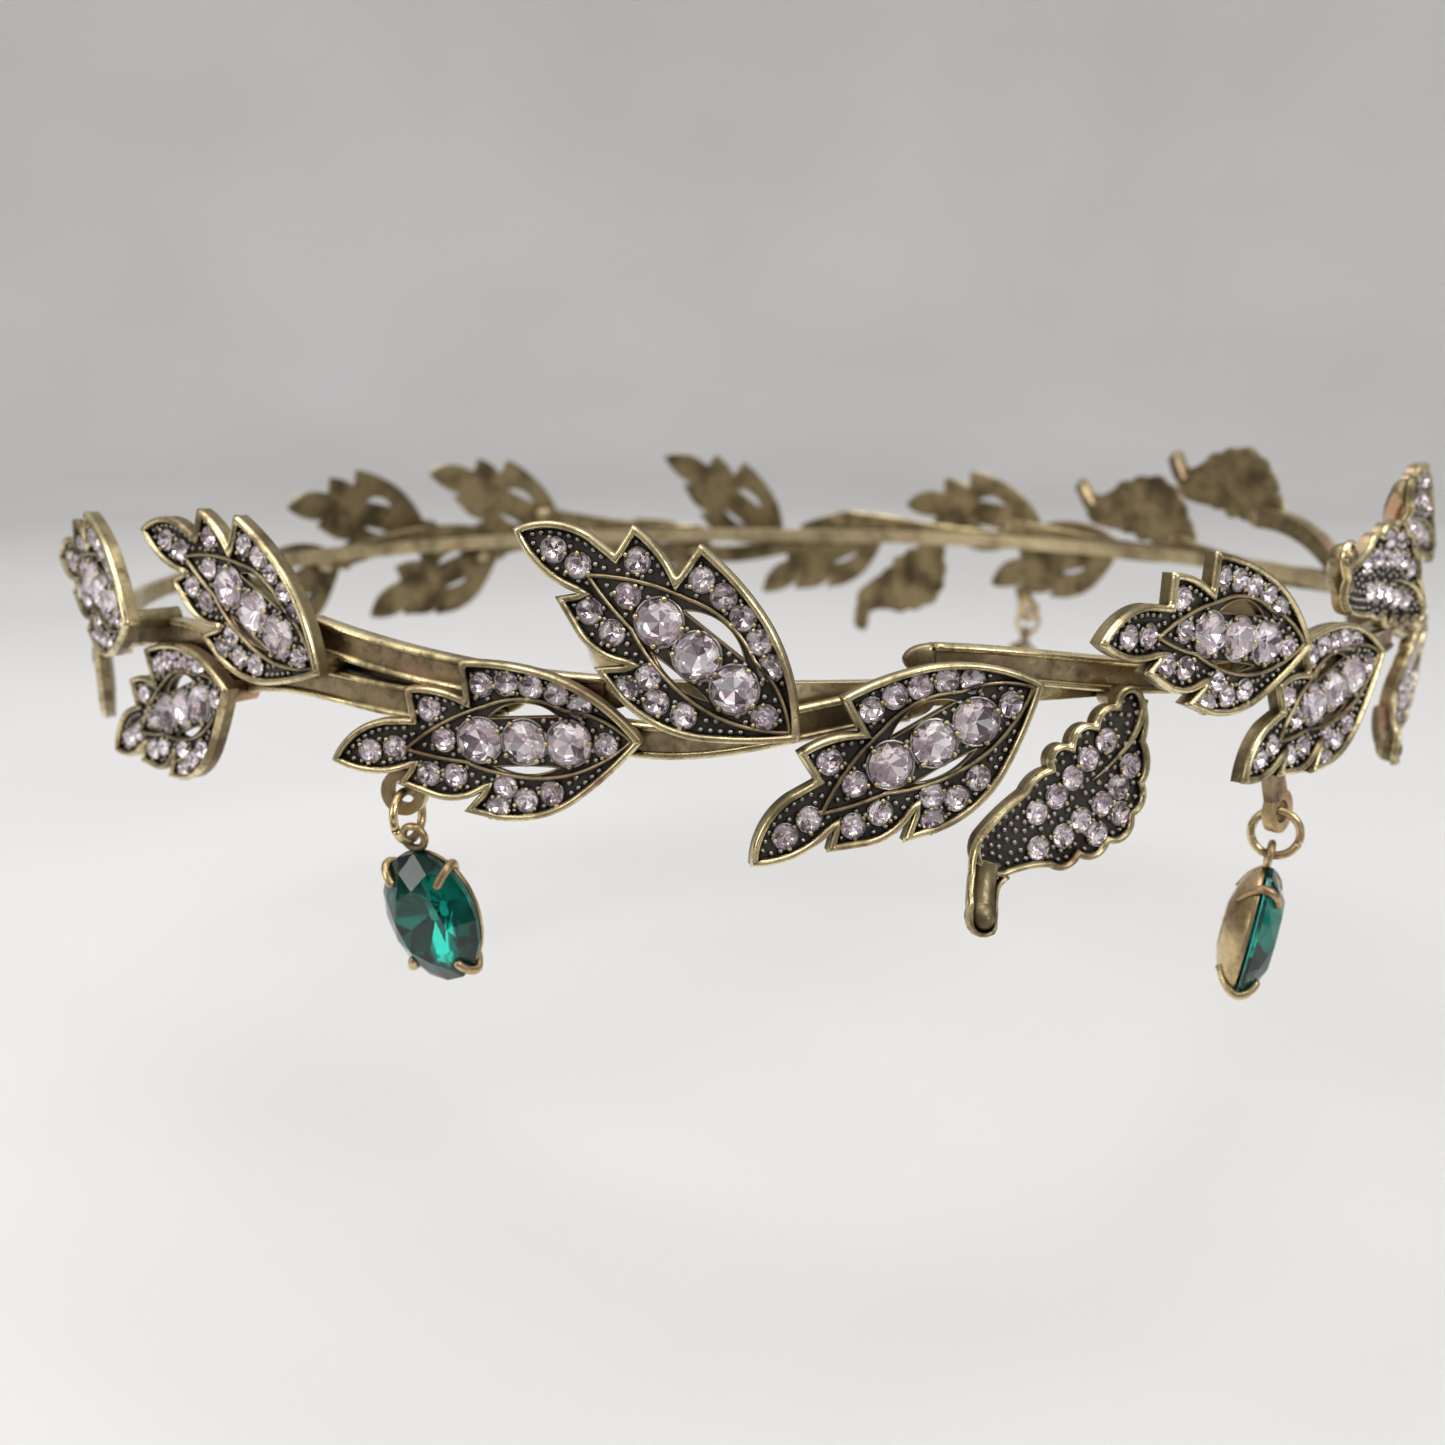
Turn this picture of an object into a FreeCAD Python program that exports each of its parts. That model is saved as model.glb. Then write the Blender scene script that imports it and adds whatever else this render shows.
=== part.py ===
import FreeCAD, Part
import math
import os
import Sketcher

# Bridal leaf-wreath tiara: a closed hoop that sits on the head, with six cast sprigs of
# leaves soldered along each side, a small drop leaf over the joint at the front, foiled
# rhinestones set in every leaf and five oval drops that swing from jump rings.
#
# Frame: millimetres, +Z up, origin at the centre of the hoop, the front of the head faces -Y.
# Places round the hoop are angles in degrees from the front, growing towards the back.
# Everything on the wearer's right (-X) is drawn first; the left side is its mirror image.

doc = FreeCAD.newDocument("tiara")
V = FreeCAD.Vector

# ---------------------------------------------------------------- driving dimensions

SIZES = {
    "hoop_inner_radius": 84.0,
    "hoop_thickness": 1.2,
    "hoop_height": 2.4,
    "stem_depth": 1.6,
    "stem_width": 3.0,
    "leaf_length": 30.0,
    "leaf_thickness": 1.25,
    "leaf_rim": 0.5,
    "floor_depth": 0.4,
    "curl_length": 22.0,
    "spout_radius": 1.3,
    "spout_knob_radius": 1.45,
    "spout_bend_radius": 9.0,
    "post_radius": 1.1,
    "drop_leaf_length": 10.5,
    "small_stone_radius": 1.05,
    "large_stone_radius": 2.0,
    "seat_depth": 0.6,
    "seat_clearance": 0.03,
    "loop_outer_radius": 2.2,
    "loop_hole_radius": 1.15,
    "loop_thickness": 1.0,
    "jump_ring_radius": 2.3,
    "jump_wire_radius": 0.42,
    "drop_loop_radius": 1.15,
    "drop_loop_wire_radius": 0.38,
    "drop_half_width": 5.0,
    "drop_half_height": 7.0,
    "cup_wall": 0.45,
    "cup_depth": 3.0,
    "crown_height": 1.5,
    "pavilion_depth": 2.2,
    "girdle_height": 0.5,
    "claw_radius": 0.55,
}

sheet = doc.addObject("Spreadsheet::Sheet", "sizes")
for row, (alias, value) in enumerate(SIZES.items(), start=1):
    sheet.set("A%d" % row, alias)
    sheet.set("B%d" % row, str(value))
    sheet.setAlias("B%d" % row, alias)
doc.recompute()


def size(alias):
    """The value of one driving dimension, in millimetres."""
    return float(sheet.get(alias))


def bind(feature, prop, expression):
    """Ties a property to the sheet; names in the expression are aliases."""
    for alias in sorted(SIZES, key=len, reverse=True):
        expression = expression.replace("<%s>" % alias, "<<sizes>>.%s" % alias)
    feature.setExpression(prop, expression)


sheet.Label = "sizes"

HOOP_OUTER_RADIUS = size("hoop_inner_radius") + size("hoop_thickness")
STEM_OUTER_RADIUS = HOOP_OUTER_RADIUS + size("stem_depth")

# ---------------------------------------------------------------- where things sit

# Each leaf: base angle, base height, base radius, tip angle, tip height, tip radius.
# The radius is that of the middle of the leaf's back face.
LEAVES = {
    "back_upper": (134.0, 3.2, 90.35, 152.6, 7.9, 90.35),
    "back_lower": (147.0, -1.5, 88.3, 166.0, -12.0, 88.3),
    "rear_upper": (115.9, 0.9, 88.6, 133.6, 13.1, 88.3),
    "rear_lower": (124.5, -2.0, 88.3, 142.7, -12.7, 88.3),
    "side_upper": (86.8, -2.0, 93.8, 102.0, 15.2, 91.0),
    "side_lower": (95.4, -3.5, 88.3, 114.7, -6.7, 90.2),
    "temple_upper": (73.3, 1.8, 91.0, 89.7, -13.0, 94.5),
    "brow_upper": (53.1, 2.9, 89.8, 71.7, 5.7, 94.6),
    "brow_lower": (41.5, 0.3, 88.4, 59.5, -9.1, 91.2),
}
# The curled leaves, in the same order of values; the tip is that of the curled spout.
CURLED_LEAVES = {
    "temple_curl": (66.0, -0.1, 88.4, 77.7, -18.0, 91.5),
    "front_upper_curl": (31.0, 2.2, 88.2, 44.8, 8.2, 86.0),
    "front_top_curl": (17.4, 7.5, 88.2, 31.2, 13.8, 85.0),
    "front_lower_curl": (17.1, -1.0, 88.2, 30.0, -10.6, 85.5),
}
# The spout of a curled leaf turns away from the hoop: up on an upper leaf, down on a lower one.
TURNS_UP = ("front_upper_curl", "front_top_curl")

# Each stem is a list of runs, and each run a list of (angle, height) along its middle line.
STEMS = {
    "sprig_back": [[(150.5, -1.5), (143.0, 0.4), (136.0, 1.8), (127.5, 1.0)]],
    "sprig_rear": [
        [(118.5, 4.2), (113.0, 2.6), (105.0, 0.9), (98.0, 0.2)],
        [(127.0, -2.2), (118.0, -0.6), (111.0, -1.6), (104.5, -0.6)],
    ],
    "sprig_side": [[(97.5, -3.6), (92.5, -3.9), (86.5, -2.3), (80.0, -0.6)]],
    "sprig_temple": [[(78.5, 3.2), (72.5, 2.3), (66.0, 1.0), (57.0, 0.3)]],
    "sprig_brow": [[(55.5, 2.4), (49.0, 1.3), (42.0, 0.2), (33.0, 0.2)]],
    "sprig_front": [
        [(32.2, 2.0), (22.0, -0.6), (11.0, -0.6), (1.4, 0.0)],
        [(19.0, 7.7), (12.5, 6.9), (6.5, 4.2), (1.8, 0.8)],
    ],
}
SPRIG_LEAVES = {
    "sprig_back": ("back_upper", "back_lower"),
    "sprig_rear": ("rear_upper", "rear_lower"),
    "sprig_side": ("side_upper", "side_lower"),
    "sprig_temple": ("temple_upper", "temple_curl"),
    "sprig_brow": ("brow_upper", "brow_lower"),
    "sprig_front": ("front_top_curl", "front_upper_curl", "front_lower_curl"),
}
# Hanging loops: the leaf that carries one, and the hole's place along and across that leaf.
HANGING_LOOPS = {
    "side_lower": (0.786, -0.117),
    "brow_lower": (0.775, -0.227),
}
# How each drop hangs at rest, in degrees: its tilt towards the head, the lean of its ring
# along the hoop (towards the front) and the turn of the ring about the vertical.
DROPS = {
    "front": {"tilt": 30.0, "lean": 0.0, "turn": 0.0},
    "brow_lower": {"tilt": 10.0, "lean": 0.0, "turn": 36.0},
    "side_lower": {"tilt": 13.0, "lean": 5.0, "turn": 0.0},
}

# The drop leaf's upper end stands at this height, its back just clear of the stems' ends, and
# the middle of its loop lies this far below its lower end.
DROP_LEAF_TOP = 2.2
DROP_LEAF_BACK_GAP = 0.02
DROP_LEAF_LOOP_GAP = 1.2
# How far the oval's girdle stands in front of its ring, and how deep the loop sinks in the cup.
GIRDLE_FORWARD = 0.25
LOOP_SINK = 0.7
# The cup narrows to this share of its front size at the back, stands this far in front of the
# girdle plane, and leaves this much room round the stone.
BACK_SHARE = 0.66
CUP_LIP = 0.3
CUP_CLEARANCE = 0.05
# The cutter of the cup's inside passes this far through both its ends.
CUP_THROUGH = 0.1
# Where the claws stand, as shares of the oval's two half sizes, and how far they rise.
CLAW_ACROSS = 0.643
CLAW_UP = 0.766
CLAW_RISE = 1.7
CLAW_FOOT = 0.6
CLAW_TIP_SHARE = 1.1
# The oval stone's blunt back and flat table, as shares of its half width and half height.
OVAL_BACK = (0.2, 0.3)
OVAL_TABLE = (0.62, 0.68)

# A round stone, in shares of its radius: its blunt foot, its flat table and its crown; then,
# in millimetres, how far its girdle stands above the leaf's floor and how tall the girdle is.
FOOT_SHARE = 0.4
TABLE_SHARE = 0.6
CROWN_SHARE = 0.42
GIRDLE_RISE = 0.15
GIRDLE_EDGE = 0.12

# ---------------------------------------------------------------- leaf patterns

# Leaf outlines run in fractions of the leaf's length: first along it, then across it.
# Each stretch is a straight line (one point) or an arc (a middle point and an end point).
LARGE_OUTLINE = [
    [(0.913, 0.087), (0.807, 0.118)],
    [(0.720, 0.114)],
    [(0.724, 0.210)],
    [(0.625, 0.200), (0.538, 0.163)],
    [(0.539, 0.279)],
    [(0.400, 0.262), (0.263, 0.221)],
    [(0.120, 0.135), (0.0, 0.0)],
    [(0.097, -0.083), (0.210, -0.162)],
    [(0.346, -0.214), (0.475, -0.213)],
    [(0.584, -0.182)],
    [(0.508, -0.116)],
    [(0.578, -0.143), (0.681, -0.133)],
    [(0.790, -0.085)],
    [(0.741, -0.035)],
    [(0.870, -0.048), (1.0, 0.0)],
]
LARGE_WINDOWS = [
    [(0.474, 0.098), (0.364, 0.139), (0.252, 0.090), (0.360, 0.094)],
    [(0.482, -0.050), (0.370, -0.086), (0.258, -0.064), (0.362, -0.052)],
]
LARGE_STONES = [(0.509, 0.033), (0.367, 0.019), (0.227, 0.007)]
SMALL_STONES = [
    (0.626, 0.041), (0.112, -0.006), (0.874, 0.019), (0.790, 0.024), (0.659, 0.137),
    (0.481, 0.202), (0.402, 0.200), (0.324, 0.184), (0.248, 0.158), (0.180, 0.118),
    (0.690, -0.062), (0.602, -0.072), (0.446, -0.113), (0.478, -0.178), (0.385, -0.160),
    (0.300, -0.142),
]
CURLED_OUTLINE = [
    [(0.030, 0.060), (0.120, 0.050)],
    [(0.190, 0.088), (0.245, 0.070)],
    [(0.320, 0.122), (0.385, 0.098)],
    [(0.470, 0.145), (0.515, 0.104)],
    [(0.600, 0.135), (0.660, 0.128)],
    [(0.780, 0.152), (0.900, 0.160)],
    [(0.980, 0.130), (1.010, 0.070)],
    [(1.005, 0.010), (0.970, -0.050)],
    [(0.880, -0.110), (0.800, -0.190)],
    [(0.750, -0.262), (0.680, -0.270)],
    [(0.625, -0.340), (0.545, -0.340)],
    [(0.460, -0.392), (0.385, -0.352)],
    [(0.310, -0.350), (0.255, -0.290)],
    [(0.175, -0.245), (0.130, -0.165)],
    [(0.055, -0.105), (0.0, 0.0)],
]
CURLED_STONES = [
    (0.250, -0.030), (0.360, -0.018), (0.465, -0.018), (0.570, -0.014), (0.677, 0.011),
    (0.245, -0.195), (0.347, -0.215), (0.447, -0.205), (0.561, -0.176), (0.664, -0.158),
    (0.778, -0.102), (0.416, -0.304), (0.553, -0.277),
]
DROP_LEAF_OUTLINE = [
    [(0.300, 0.350), (0.620, 0.300)],
    [(0.850, 0.180), (1.0, 0.0)],
    [(0.850, -0.180), (0.620, -0.300)],
    [(0.300, -0.350), (0.0, 0.0)],
]
DROP_LEAF_STONES = [(0.130, 0.0), (0.770, 0.0)]
DROP_LEAF_LARGE_STONES = [(0.450, 0.0)]
# The spout leaves the curled body at this place and in this direction, then bends outwards.
SPOUT_START = (0.965, 0.045)
SPOUT_HEADING = -29.0
SPOUT_BEND = 32.0


def outline_edges(outline, length):
    """The closed outline as arcs and lines, starting from its last point."""
    last = outline[-1][-1]
    start = V(last[0] * length, last[1] * length, 0)
    edges = []
    for stretch in outline:
        points = [V(s * length, t * length, 0) for s, t in stretch]
        if len(points) == 1:
            edges.append(Part.LineSegment(start, points[0]))
        else:
            edges.append(Part.Arc(start, points[0], points[1]))
        start = points[-1]
    return edges


def origin_plane(body, role):
    for feature in body.Origin.OriginFeatures:
        if feature.Role == role:
            return feature
    raise ValueError(role)


def new_body(name):
    body = doc.addObject("PartDesign::Body", name)
    body.Label = name
    return body


def flat_sketch(body, name, geometry, role="XY_Plane"):
    """A sketch on one of the body's own origin planes, holding the given curves."""
    sketch = body.newObject("Sketcher::SketchObject", name)
    sketch.AttachmentSupport = [(origin_plane(body, role), "")]
    sketch.MapMode = "FlatFace"
    for curve in geometry:
        sketch.addGeometry(curve, False)
    return sketch


def raised_sketch(body, name, geometry, alias):
    """A sketch parallel to the body's XY plane, at the height held by a sheet cell."""
    sketch = flat_sketch(body, name, geometry)
    bind(sketch, ".AttachmentOffset.Base.z", "<%s>" % alias)
    return sketch


def trimmed_curve(edge):
    """The curve of an arc or straight edge, cut to the edge's own ends."""
    first, last = edge.ParameterRange
    if isinstance(edge.Curve, Part.Circle):
        return Part.ArcOfCircle(edge.Curve, first, last)
    return Part.LineSegment(edge.valueAt(first), edge.valueAt(last))


def leaf_pattern(name, outline, length_alias, windows, stones):
    """A flat cast leaf: padded outline, sunk floor inside a raised rim, windows, stone seats.

    Its frame has x along the leaf from the base, y across it and z outwards from the back face.
    """
    length = size(length_alias)
    body = new_body(name)
    edges = outline_edges(outline, length)
    pad = body.newObject("PartDesign::Pad", name + "_pad")
    pad.Profile = flat_sketch(body, name + "_outline", edges)
    bind(pad, "Length", "<leaf_thickness>")
    doc.recompute()
    blank_volume = body.Shape.Volume

    outer = Part.Wire([edge.toShape() for edge in edges])
    inner = outer.makeOffset2D(-size("leaf_rim"), join=0)
    floor = body.newObject("PartDesign::Pocket", name + "_floor")
    floor.Profile = raised_sketch(body, name + "_floor_outline",
                                  [trimmed_curve(edge) for edge in inner.Edges], "leaf_thickness")
    bind(floor, "Length", "<floor_depth>")
    doc.recompute()
    floor_volume = body.Shape.Volume

    circles = []
    for places, alias in stones:
        radius = size(alias) + size("seat_clearance")
        for s, t in places:
            circles.append(Part.Circle(V(s * length, t * length, 0), V(0, 0, 1), radius))
    seats = body.newObject("PartDesign::Pocket", name + "_seats")
    seats.Profile = raised_sketch(body, name + "_seat_circles", circles, "leaf_thickness")
    bind(seats, "Length", "<floor_depth> + <seat_depth>")
    doc.recompute()
    seat_volume = body.Shape.Volume

    if windows:
        curves = []
        for window in windows:
            corners = [V(s * length, t * length, 0) for s, t in window]
            curves.append(Part.Arc(corners[0], corners[1], corners[2]))
            curves.append(Part.Arc(corners[2], corners[3], corners[0]))
        opening = body.newObject("PartDesign::Pocket", name + "_windows")
        opening.Profile = flat_sketch(body, name + "_window_curves", curves)
        opening.Reversed = True
        opening.Type = "ThroughAll"
        doc.recompute()
    if not body.Shape.Volume <= seat_volume < floor_volume < blank_volume:
        raise ValueError("a pocket of %s cut nothing" % name)
    return body


def stone_pattern(name, radius_alias):
    """A round foiled stone: a blunt cone below, a short girdle, and a bevelled crown.

    Its frame has z outwards, with z 0 at the leaf's back face.
    """
    radius = size(radius_alias)
    foot = size("leaf_thickness") - size("floor_depth") - size("seat_depth")
    girdle = size("leaf_thickness") - size("floor_depth") + GIRDLE_RISE
    top = girdle + GIRDLE_EDGE + CROWN_SHARE * radius
    profile = [V(0, 0, foot), V(FOOT_SHARE * radius, 0, foot), V(radius, 0, girdle),
               V(radius, 0, girdle + GIRDLE_EDGE), V(TABLE_SHARE * radius, 0, top), V(0, 0, top)]
    lines = [Part.LineSegment(V(p.x, p.z, 0), V(q.x, q.z, 0))
             for p, q in zip(profile, profile[1:] + profile[:1])]
    body = new_body(name)
    sketch = flat_sketch(body, name + "_profile", lines, "XZ_Plane")
    turn = body.newObject("PartDesign::Revolution", name + "_turn")
    turn.Profile = sketch
    turn.ReferenceAxis = (sketch, ["V_Axis"])
    turn.Angle = 360.0
    doc.recompute()
    return body


def ellipse_wire(half_width, half_height, z):
    """An upright ellipse in the drop's frame: y is its long direction."""
    ellipse = Part.Ellipse(V(0, half_height, z), V(half_width, 0, z), V(0, 0, z))
    return Part.Wire([ellipse.toShape()])


def ellipse_loft(sections):
    """A ruled solid through ellipses given as (half width, half height, z)."""
    return Part.makeLoft([ellipse_wire(*section) for section in sections], True, True)


def static_shape(name, shape):
    """A feature whose shape is built from the sheet's sizes in this file's own code."""
    feature = doc.addObject("Part::Feature", name)
    feature.Label = name
    feature.Shape = shape
    return feature


# ---------------------------------------------------------------- places round the hoop

LEFT = 1
RIGHT = -1
SIDE_NAMES = {LEFT: "left", RIGHT: "right"}
MIRROR_POINT = V(0, 0, 0)
MIRROR_NORMAL = V(1, 0, 0)


def around(angle, height, radius):
    """A point on the wearer's left side, at this angle from the front."""
    turn = math.radians(angle)
    return V(radius * math.sin(turn), -radius * math.cos(turn), height)


def leaf_placement(spec):
    """The placement of a leaf on the left side: x from base to tip, z outwards."""
    base = around(*spec[0:3])
    tip = around(*spec[3:6])
    along = (tip - base).normalize()
    outward = around((spec[0] + spec[3]) / 2, 0, 1)
    outward = (outward - along * outward.dot(along)).normalize()
    across = outward.cross(along)
    return FreeCAD.Placement(base, FreeCAD.Rotation(along, across, outward, "XZY"))


def placed(shape, placement):
    """A copy of a shape, moved by a placement."""
    copy = shape.copy()
    copy.Placement = placement.multiply(copy.Placement)
    return copy


def sided(shape, side):
    """The shape itself on the left, its mirror image on the right."""
    return shape if side == LEFT else shape.mirror(MIRROR_POINT, MIRROR_NORMAL)


# ---------------------------------------------------------------- pieces of a sprig

# How many places shape a stem's edges, and a length that passes right through any stem.
STEM_SAMPLES = 12
REACH = 30.0
# A post meets its leaf this far along the leaf and this far up its thickness, and sinks this
# far into the stem, in millimetres.
SEAT_ALONG = 0.05
SEAT_SHARE = 0.3
POST_STAND = 0.4
# A loop's tab is this much wider than the loop's radius, and ends this far short of the leaf's
# middle line, in shares of the leaf's length.
TAB_SHARE = 1.3
TAB_END = 0.06


def stem_run(points):
    """A band that follows the hoop's outer face along (angle, height) points."""
    middle = (points[0][0] + points[-1][0]) / 2
    radius = (HOOP_OUTER_RADIUS + STEM_OUTER_RADIUS) / 2
    flat = [V(radius * math.sin(math.radians(angle - middle)), 0, height)
            for angle, height in points]
    centre = Part.BSplineCurve()
    centre.interpolate(flat)
    half = size("stem_width") / 2
    upper, lower = [], []
    for index in range(STEM_SAMPLES + 1):
        share = index / STEM_SAMPLES
        parameter = centre.FirstParameter + share * (centre.LastParameter - centre.FirstParameter)
        point = centre.value(parameter)
        along = centre.tangent(parameter)[0]
        side = V(-along.z, 0, along.x).normalize() * half
        upper.append(point + side)
        lower.append(point - side)
    edges = []
    for row_of_points in (upper, lower):
        curve = Part.BSplineCurve()
        curve.interpolate(row_of_points)
        edges.append(curve.toShape())
    edges.append(Part.LineSegment(upper[0], lower[0]).toShape())
    edges.append(Part.LineSegment(upper[-1], lower[-1]).toShape())
    face = Part.Face(Part.Wire(Part.__sortEdges__(edges)))
    face.translate(V(0, -(STEM_OUTER_RADIUS + REACH), 0))
    prism = face.extrude(V(0, 2 * REACH, 0))
    prism.rotate(V(0, 0, 0), V(0, 0, 1), middle)
    tube = Part.makeCylinder(STEM_OUTER_RADIUS, 2 * REACH, V(0, 0, -REACH))
    tube = tube.cut(Part.makeCylinder(HOOP_OUTER_RADIUS, 2 * REACH, V(0, 0, -REACH)))
    return prism.common(tube)


def post(spec, length):
    """The short post that carries a leaf's base on the stem."""
    placement = leaf_placement(spec)
    seat = placement.multVec(V(SEAT_ALONG * length, 0, SEAT_SHARE * size("leaf_thickness")))
    flat = V(seat.x, seat.y, 0)
    reach = flat.Length - (HOOP_OUTER_RADIUS + POST_STAND)
    return Part.makeCylinder(size("post_radius"), reach, seat, flat.normalize() * -1)


def spout():
    """The curled end of a small leaf: a round bar that bends outwards to a knob."""
    length = size("curl_length")
    start = V(SPOUT_START[0] * length, SPOUT_START[1] * length, size("leaf_thickness") / 2)
    heading = math.radians(SPOUT_HEADING)
    forward = V(math.cos(heading), math.sin(heading), 0)
    bend = size("spout_bend_radius")
    hinge = start + V(0, 0, bend)
    disc = Part.Face(Part.Wire([Part.Circle(start, forward, size("spout_radius")).toShape()]))
    side = V(0, 0, 1).cross(forward)
    bar = disc.revolve(hinge, side * -1, SPOUT_BEND)
    bend_angle = math.radians(SPOUT_BEND)
    end = hinge + forward * (bend * math.sin(bend_angle)) - V(0, 0, bend * math.cos(bend_angle))
    knob = Part.makeSphere(size("spout_knob_radius"), end)
    return bar.fuse(knob)


def hanging_loop(along, across, leaf_length, tab_reach):
    """A flat cast loop beside a leaf, on a tab that reaches back to it; with its hole cutter."""
    outer = size("loop_outer_radius")
    thickness = size("loop_thickness")
    centre = V(along * leaf_length, across * leaf_length, 0)
    ring = Part.makeCylinder(outer, thickness, centre)
    tab_width = TAB_SHARE * outer
    tab = Part.makeBox(tab_width, tab_reach, thickness, centre - V(tab_width / 2, 0, 0))
    hole = Part.makeCylinder(size("loop_hole_radius"), 3 * thickness, centre - V(0, 0, thickness))
    return ring.fuse(tab), hole


def is_curled(leaf):
    return leaf in CURLED_LEAVES


def leaf_spec(leaf):
    return CURLED_LEAVES[leaf] if is_curled(leaf) else LEAVES[leaf]


def turned_over(shape, leaf):
    """A curled leaf whose spout turns up is the mirror image, across the leaf, of the other."""
    return shape.mirror(V(0, 0, 0), V(0, 1, 0)) if leaf in TURNS_UP else shape


def leaf_casting(leaf):
    """One leaf of a sprig in place on the left side, with its post and any spout or loop."""
    spec = leaf_spec(leaf)
    placement = leaf_placement(spec)
    if is_curled(leaf):
        blank = turned_over(curled_leaf.Shape.fuse(curled_spout), leaf)
        return placed(blank, placement).fuse(post(spec, size("curl_length")))
    blank = large_leaf.Shape
    if leaf in HANGING_LOOPS:
        along, across = HANGING_LOOPS[leaf]
        tab_reach = (-across - TAB_END) * size("leaf_length")
        loop, hole = hanging_loop(along, across, size("leaf_length"), tab_reach)
        blank = blank.fuse(loop).cut(hole)
    return placed(blank, placement).fuse(post(spec, size("leaf_length")))


def stone_places(leaf, kind):
    """Where a leaf's stones of one kind sit, in the leaf's own frame."""
    if is_curled(leaf):
        places = CURLED_STONES if kind == "small" else []
        turn = -1 if leaf in TURNS_UP else 1
        length = size("curl_length")
        return [V(s * length, turn * t * length, 0) for s, t in places]
    places = SMALL_STONES if kind == "small" else LARGE_STONES
    length = size("leaf_length")
    return [V(s * length, t * length, 0) for s, t in places]


def stones_of(leaf, kind):
    """Every stone of one kind on one leaf, each a solid of its own, on the left side."""
    placement = leaf_placement(leaf_spec(leaf))
    pattern = STONE_PATTERNS[kind].Shape
    stones = []
    for place in stone_places(leaf, kind):
        seat = placement.multiply(FreeCAD.Placement(place, FreeCAD.Rotation()))
        stones.append(placed(pattern, seat))
    return stones


# ---------------------------------------------------------------- patterns, made once

large_leaf = leaf_pattern("large_leaf_pattern", LARGE_OUTLINE, "leaf_length", LARGE_WINDOWS,
                          [(LARGE_STONES, "large_stone_radius"),
                           (SMALL_STONES, "small_stone_radius")])
curled_leaf = leaf_pattern("curled_leaf_pattern", CURLED_OUTLINE, "curl_length", [],
                           [(CURLED_STONES, "small_stone_radius")])
drop_leaf = leaf_pattern("drop_leaf_pattern", DROP_LEAF_OUTLINE, "drop_leaf_length", [],
                         [(DROP_LEAF_STONES, "small_stone_radius"),
                          (DROP_LEAF_LARGE_STONES, "large_stone_radius")])
STONE_PATTERNS = {
    "small": stone_pattern("small_stone_pattern", "small_stone_radius"),
    "large": stone_pattern("large_stone_pattern", "large_stone_radius"),
}
curled_spout = spout()

pieces = []


def keep(feature):
    pieces.append(feature)
    return feature


# ---------------------------------------------------------------- hoop

def make_hoop():
    """A closed band of rectangular section, turned about the tiara's upright axis."""
    body = new_body("hoop_band")
    sketch = flat_sketch(body, "hoop_section", [], "XZ_Plane")
    inner, wall, high = size("hoop_inner_radius"), size("hoop_thickness"), size("hoop_height")
    corners = [V(inner, -high / 2, 0), V(inner + wall, -high / 2, 0),
               V(inner + wall, high / 2, 0), V(inner, high / 2, 0)]
    for first, second in zip(corners, corners[1:] + corners[:1]):
        sketch.addGeometry(Part.LineSegment(first, second), False)
    for index in range(4):
        sketch.addConstraint(Sketcher.Constraint("Coincident", index, 2, (index + 1) % 4, 1))
    for index, direction in enumerate(("Horizontal", "Vertical", "Horizontal", "Vertical")):
        sketch.addConstraint(Sketcher.Constraint(direction, index))
    measured = (
        ("DistanceX", -1, 1, 0, 1, inner, "<hoop_inner_radius>"),
        ("DistanceX", 0, 1, 0, 2, wall, "<hoop_thickness>"),
        ("DistanceY", 1, 1, 1, 2, high, "<hoop_height>"),
        ("DistanceY", -1, 1, 1, 2, high / 2, "<hoop_height> / 2"),
    )
    for kind, first, first_end, second, second_end, value, expression in measured:
        rule = Sketcher.Constraint(kind, first, first_end, second, second_end, value)
        number = sketch.addConstraint(rule)
        bind(sketch, "Constraints[%d]" % number, expression)
    turn = body.newObject("PartDesign::Revolution", "hoop_turn")
    turn.Profile = sketch
    turn.ReferenceAxis = (sketch, ["V_Axis"])
    turn.Angle = 360.0
    doc.recompute()
    return body


keep(make_hoop())


# ---------------------------------------------------------------- sprigs and their stones

def fused(shapes):
    """One solid from shapes that overlap each other."""
    return shapes[0].multiFuse(shapes[1:]).removeSplitter()


def make_sprig(sprig):
    """The casting of one sprig on the left side: its stem runs and its leaves."""
    shapes = [stem_run(run) for run in STEMS[sprig]]
    shapes += [leaf_casting(leaf) for leaf in SPRIG_LEAVES[sprig]]
    return fused(shapes)


for sprig in STEMS:
    casting = make_sprig(sprig)
    for side, side_name in SIDE_NAMES.items():
        keep(static_shape("%s_%s" % (sprig, side_name), sided(casting, side)))
    for kind in STONE_PATTERNS:
        stones = [stone for leaf in SPRIG_LEAVES[sprig] for stone in stones_of(leaf, kind)]
        if stones:
            for side, side_name in SIDE_NAMES.items():
                group = Part.makeCompound([sided(stone, side) for stone in stones])
                keep(static_shape("%s_stones_%s_%s" % (kind, sprig[6:], side_name), group))


# ---------------------------------------------------------------- drop leaf at the front

def drop_leaf_placement():
    """Hanging upright over the front joint: x downwards, z outwards."""
    back = V(0, -(STEM_OUTER_RADIUS + DROP_LEAF_BACK_GAP), DROP_LEAF_TOP)
    return FreeCAD.Placement(back, FreeCAD.Rotation(V(0, 0, -1), V(1, 0, 0), V(0, -1, 0), "XZY"))


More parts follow.
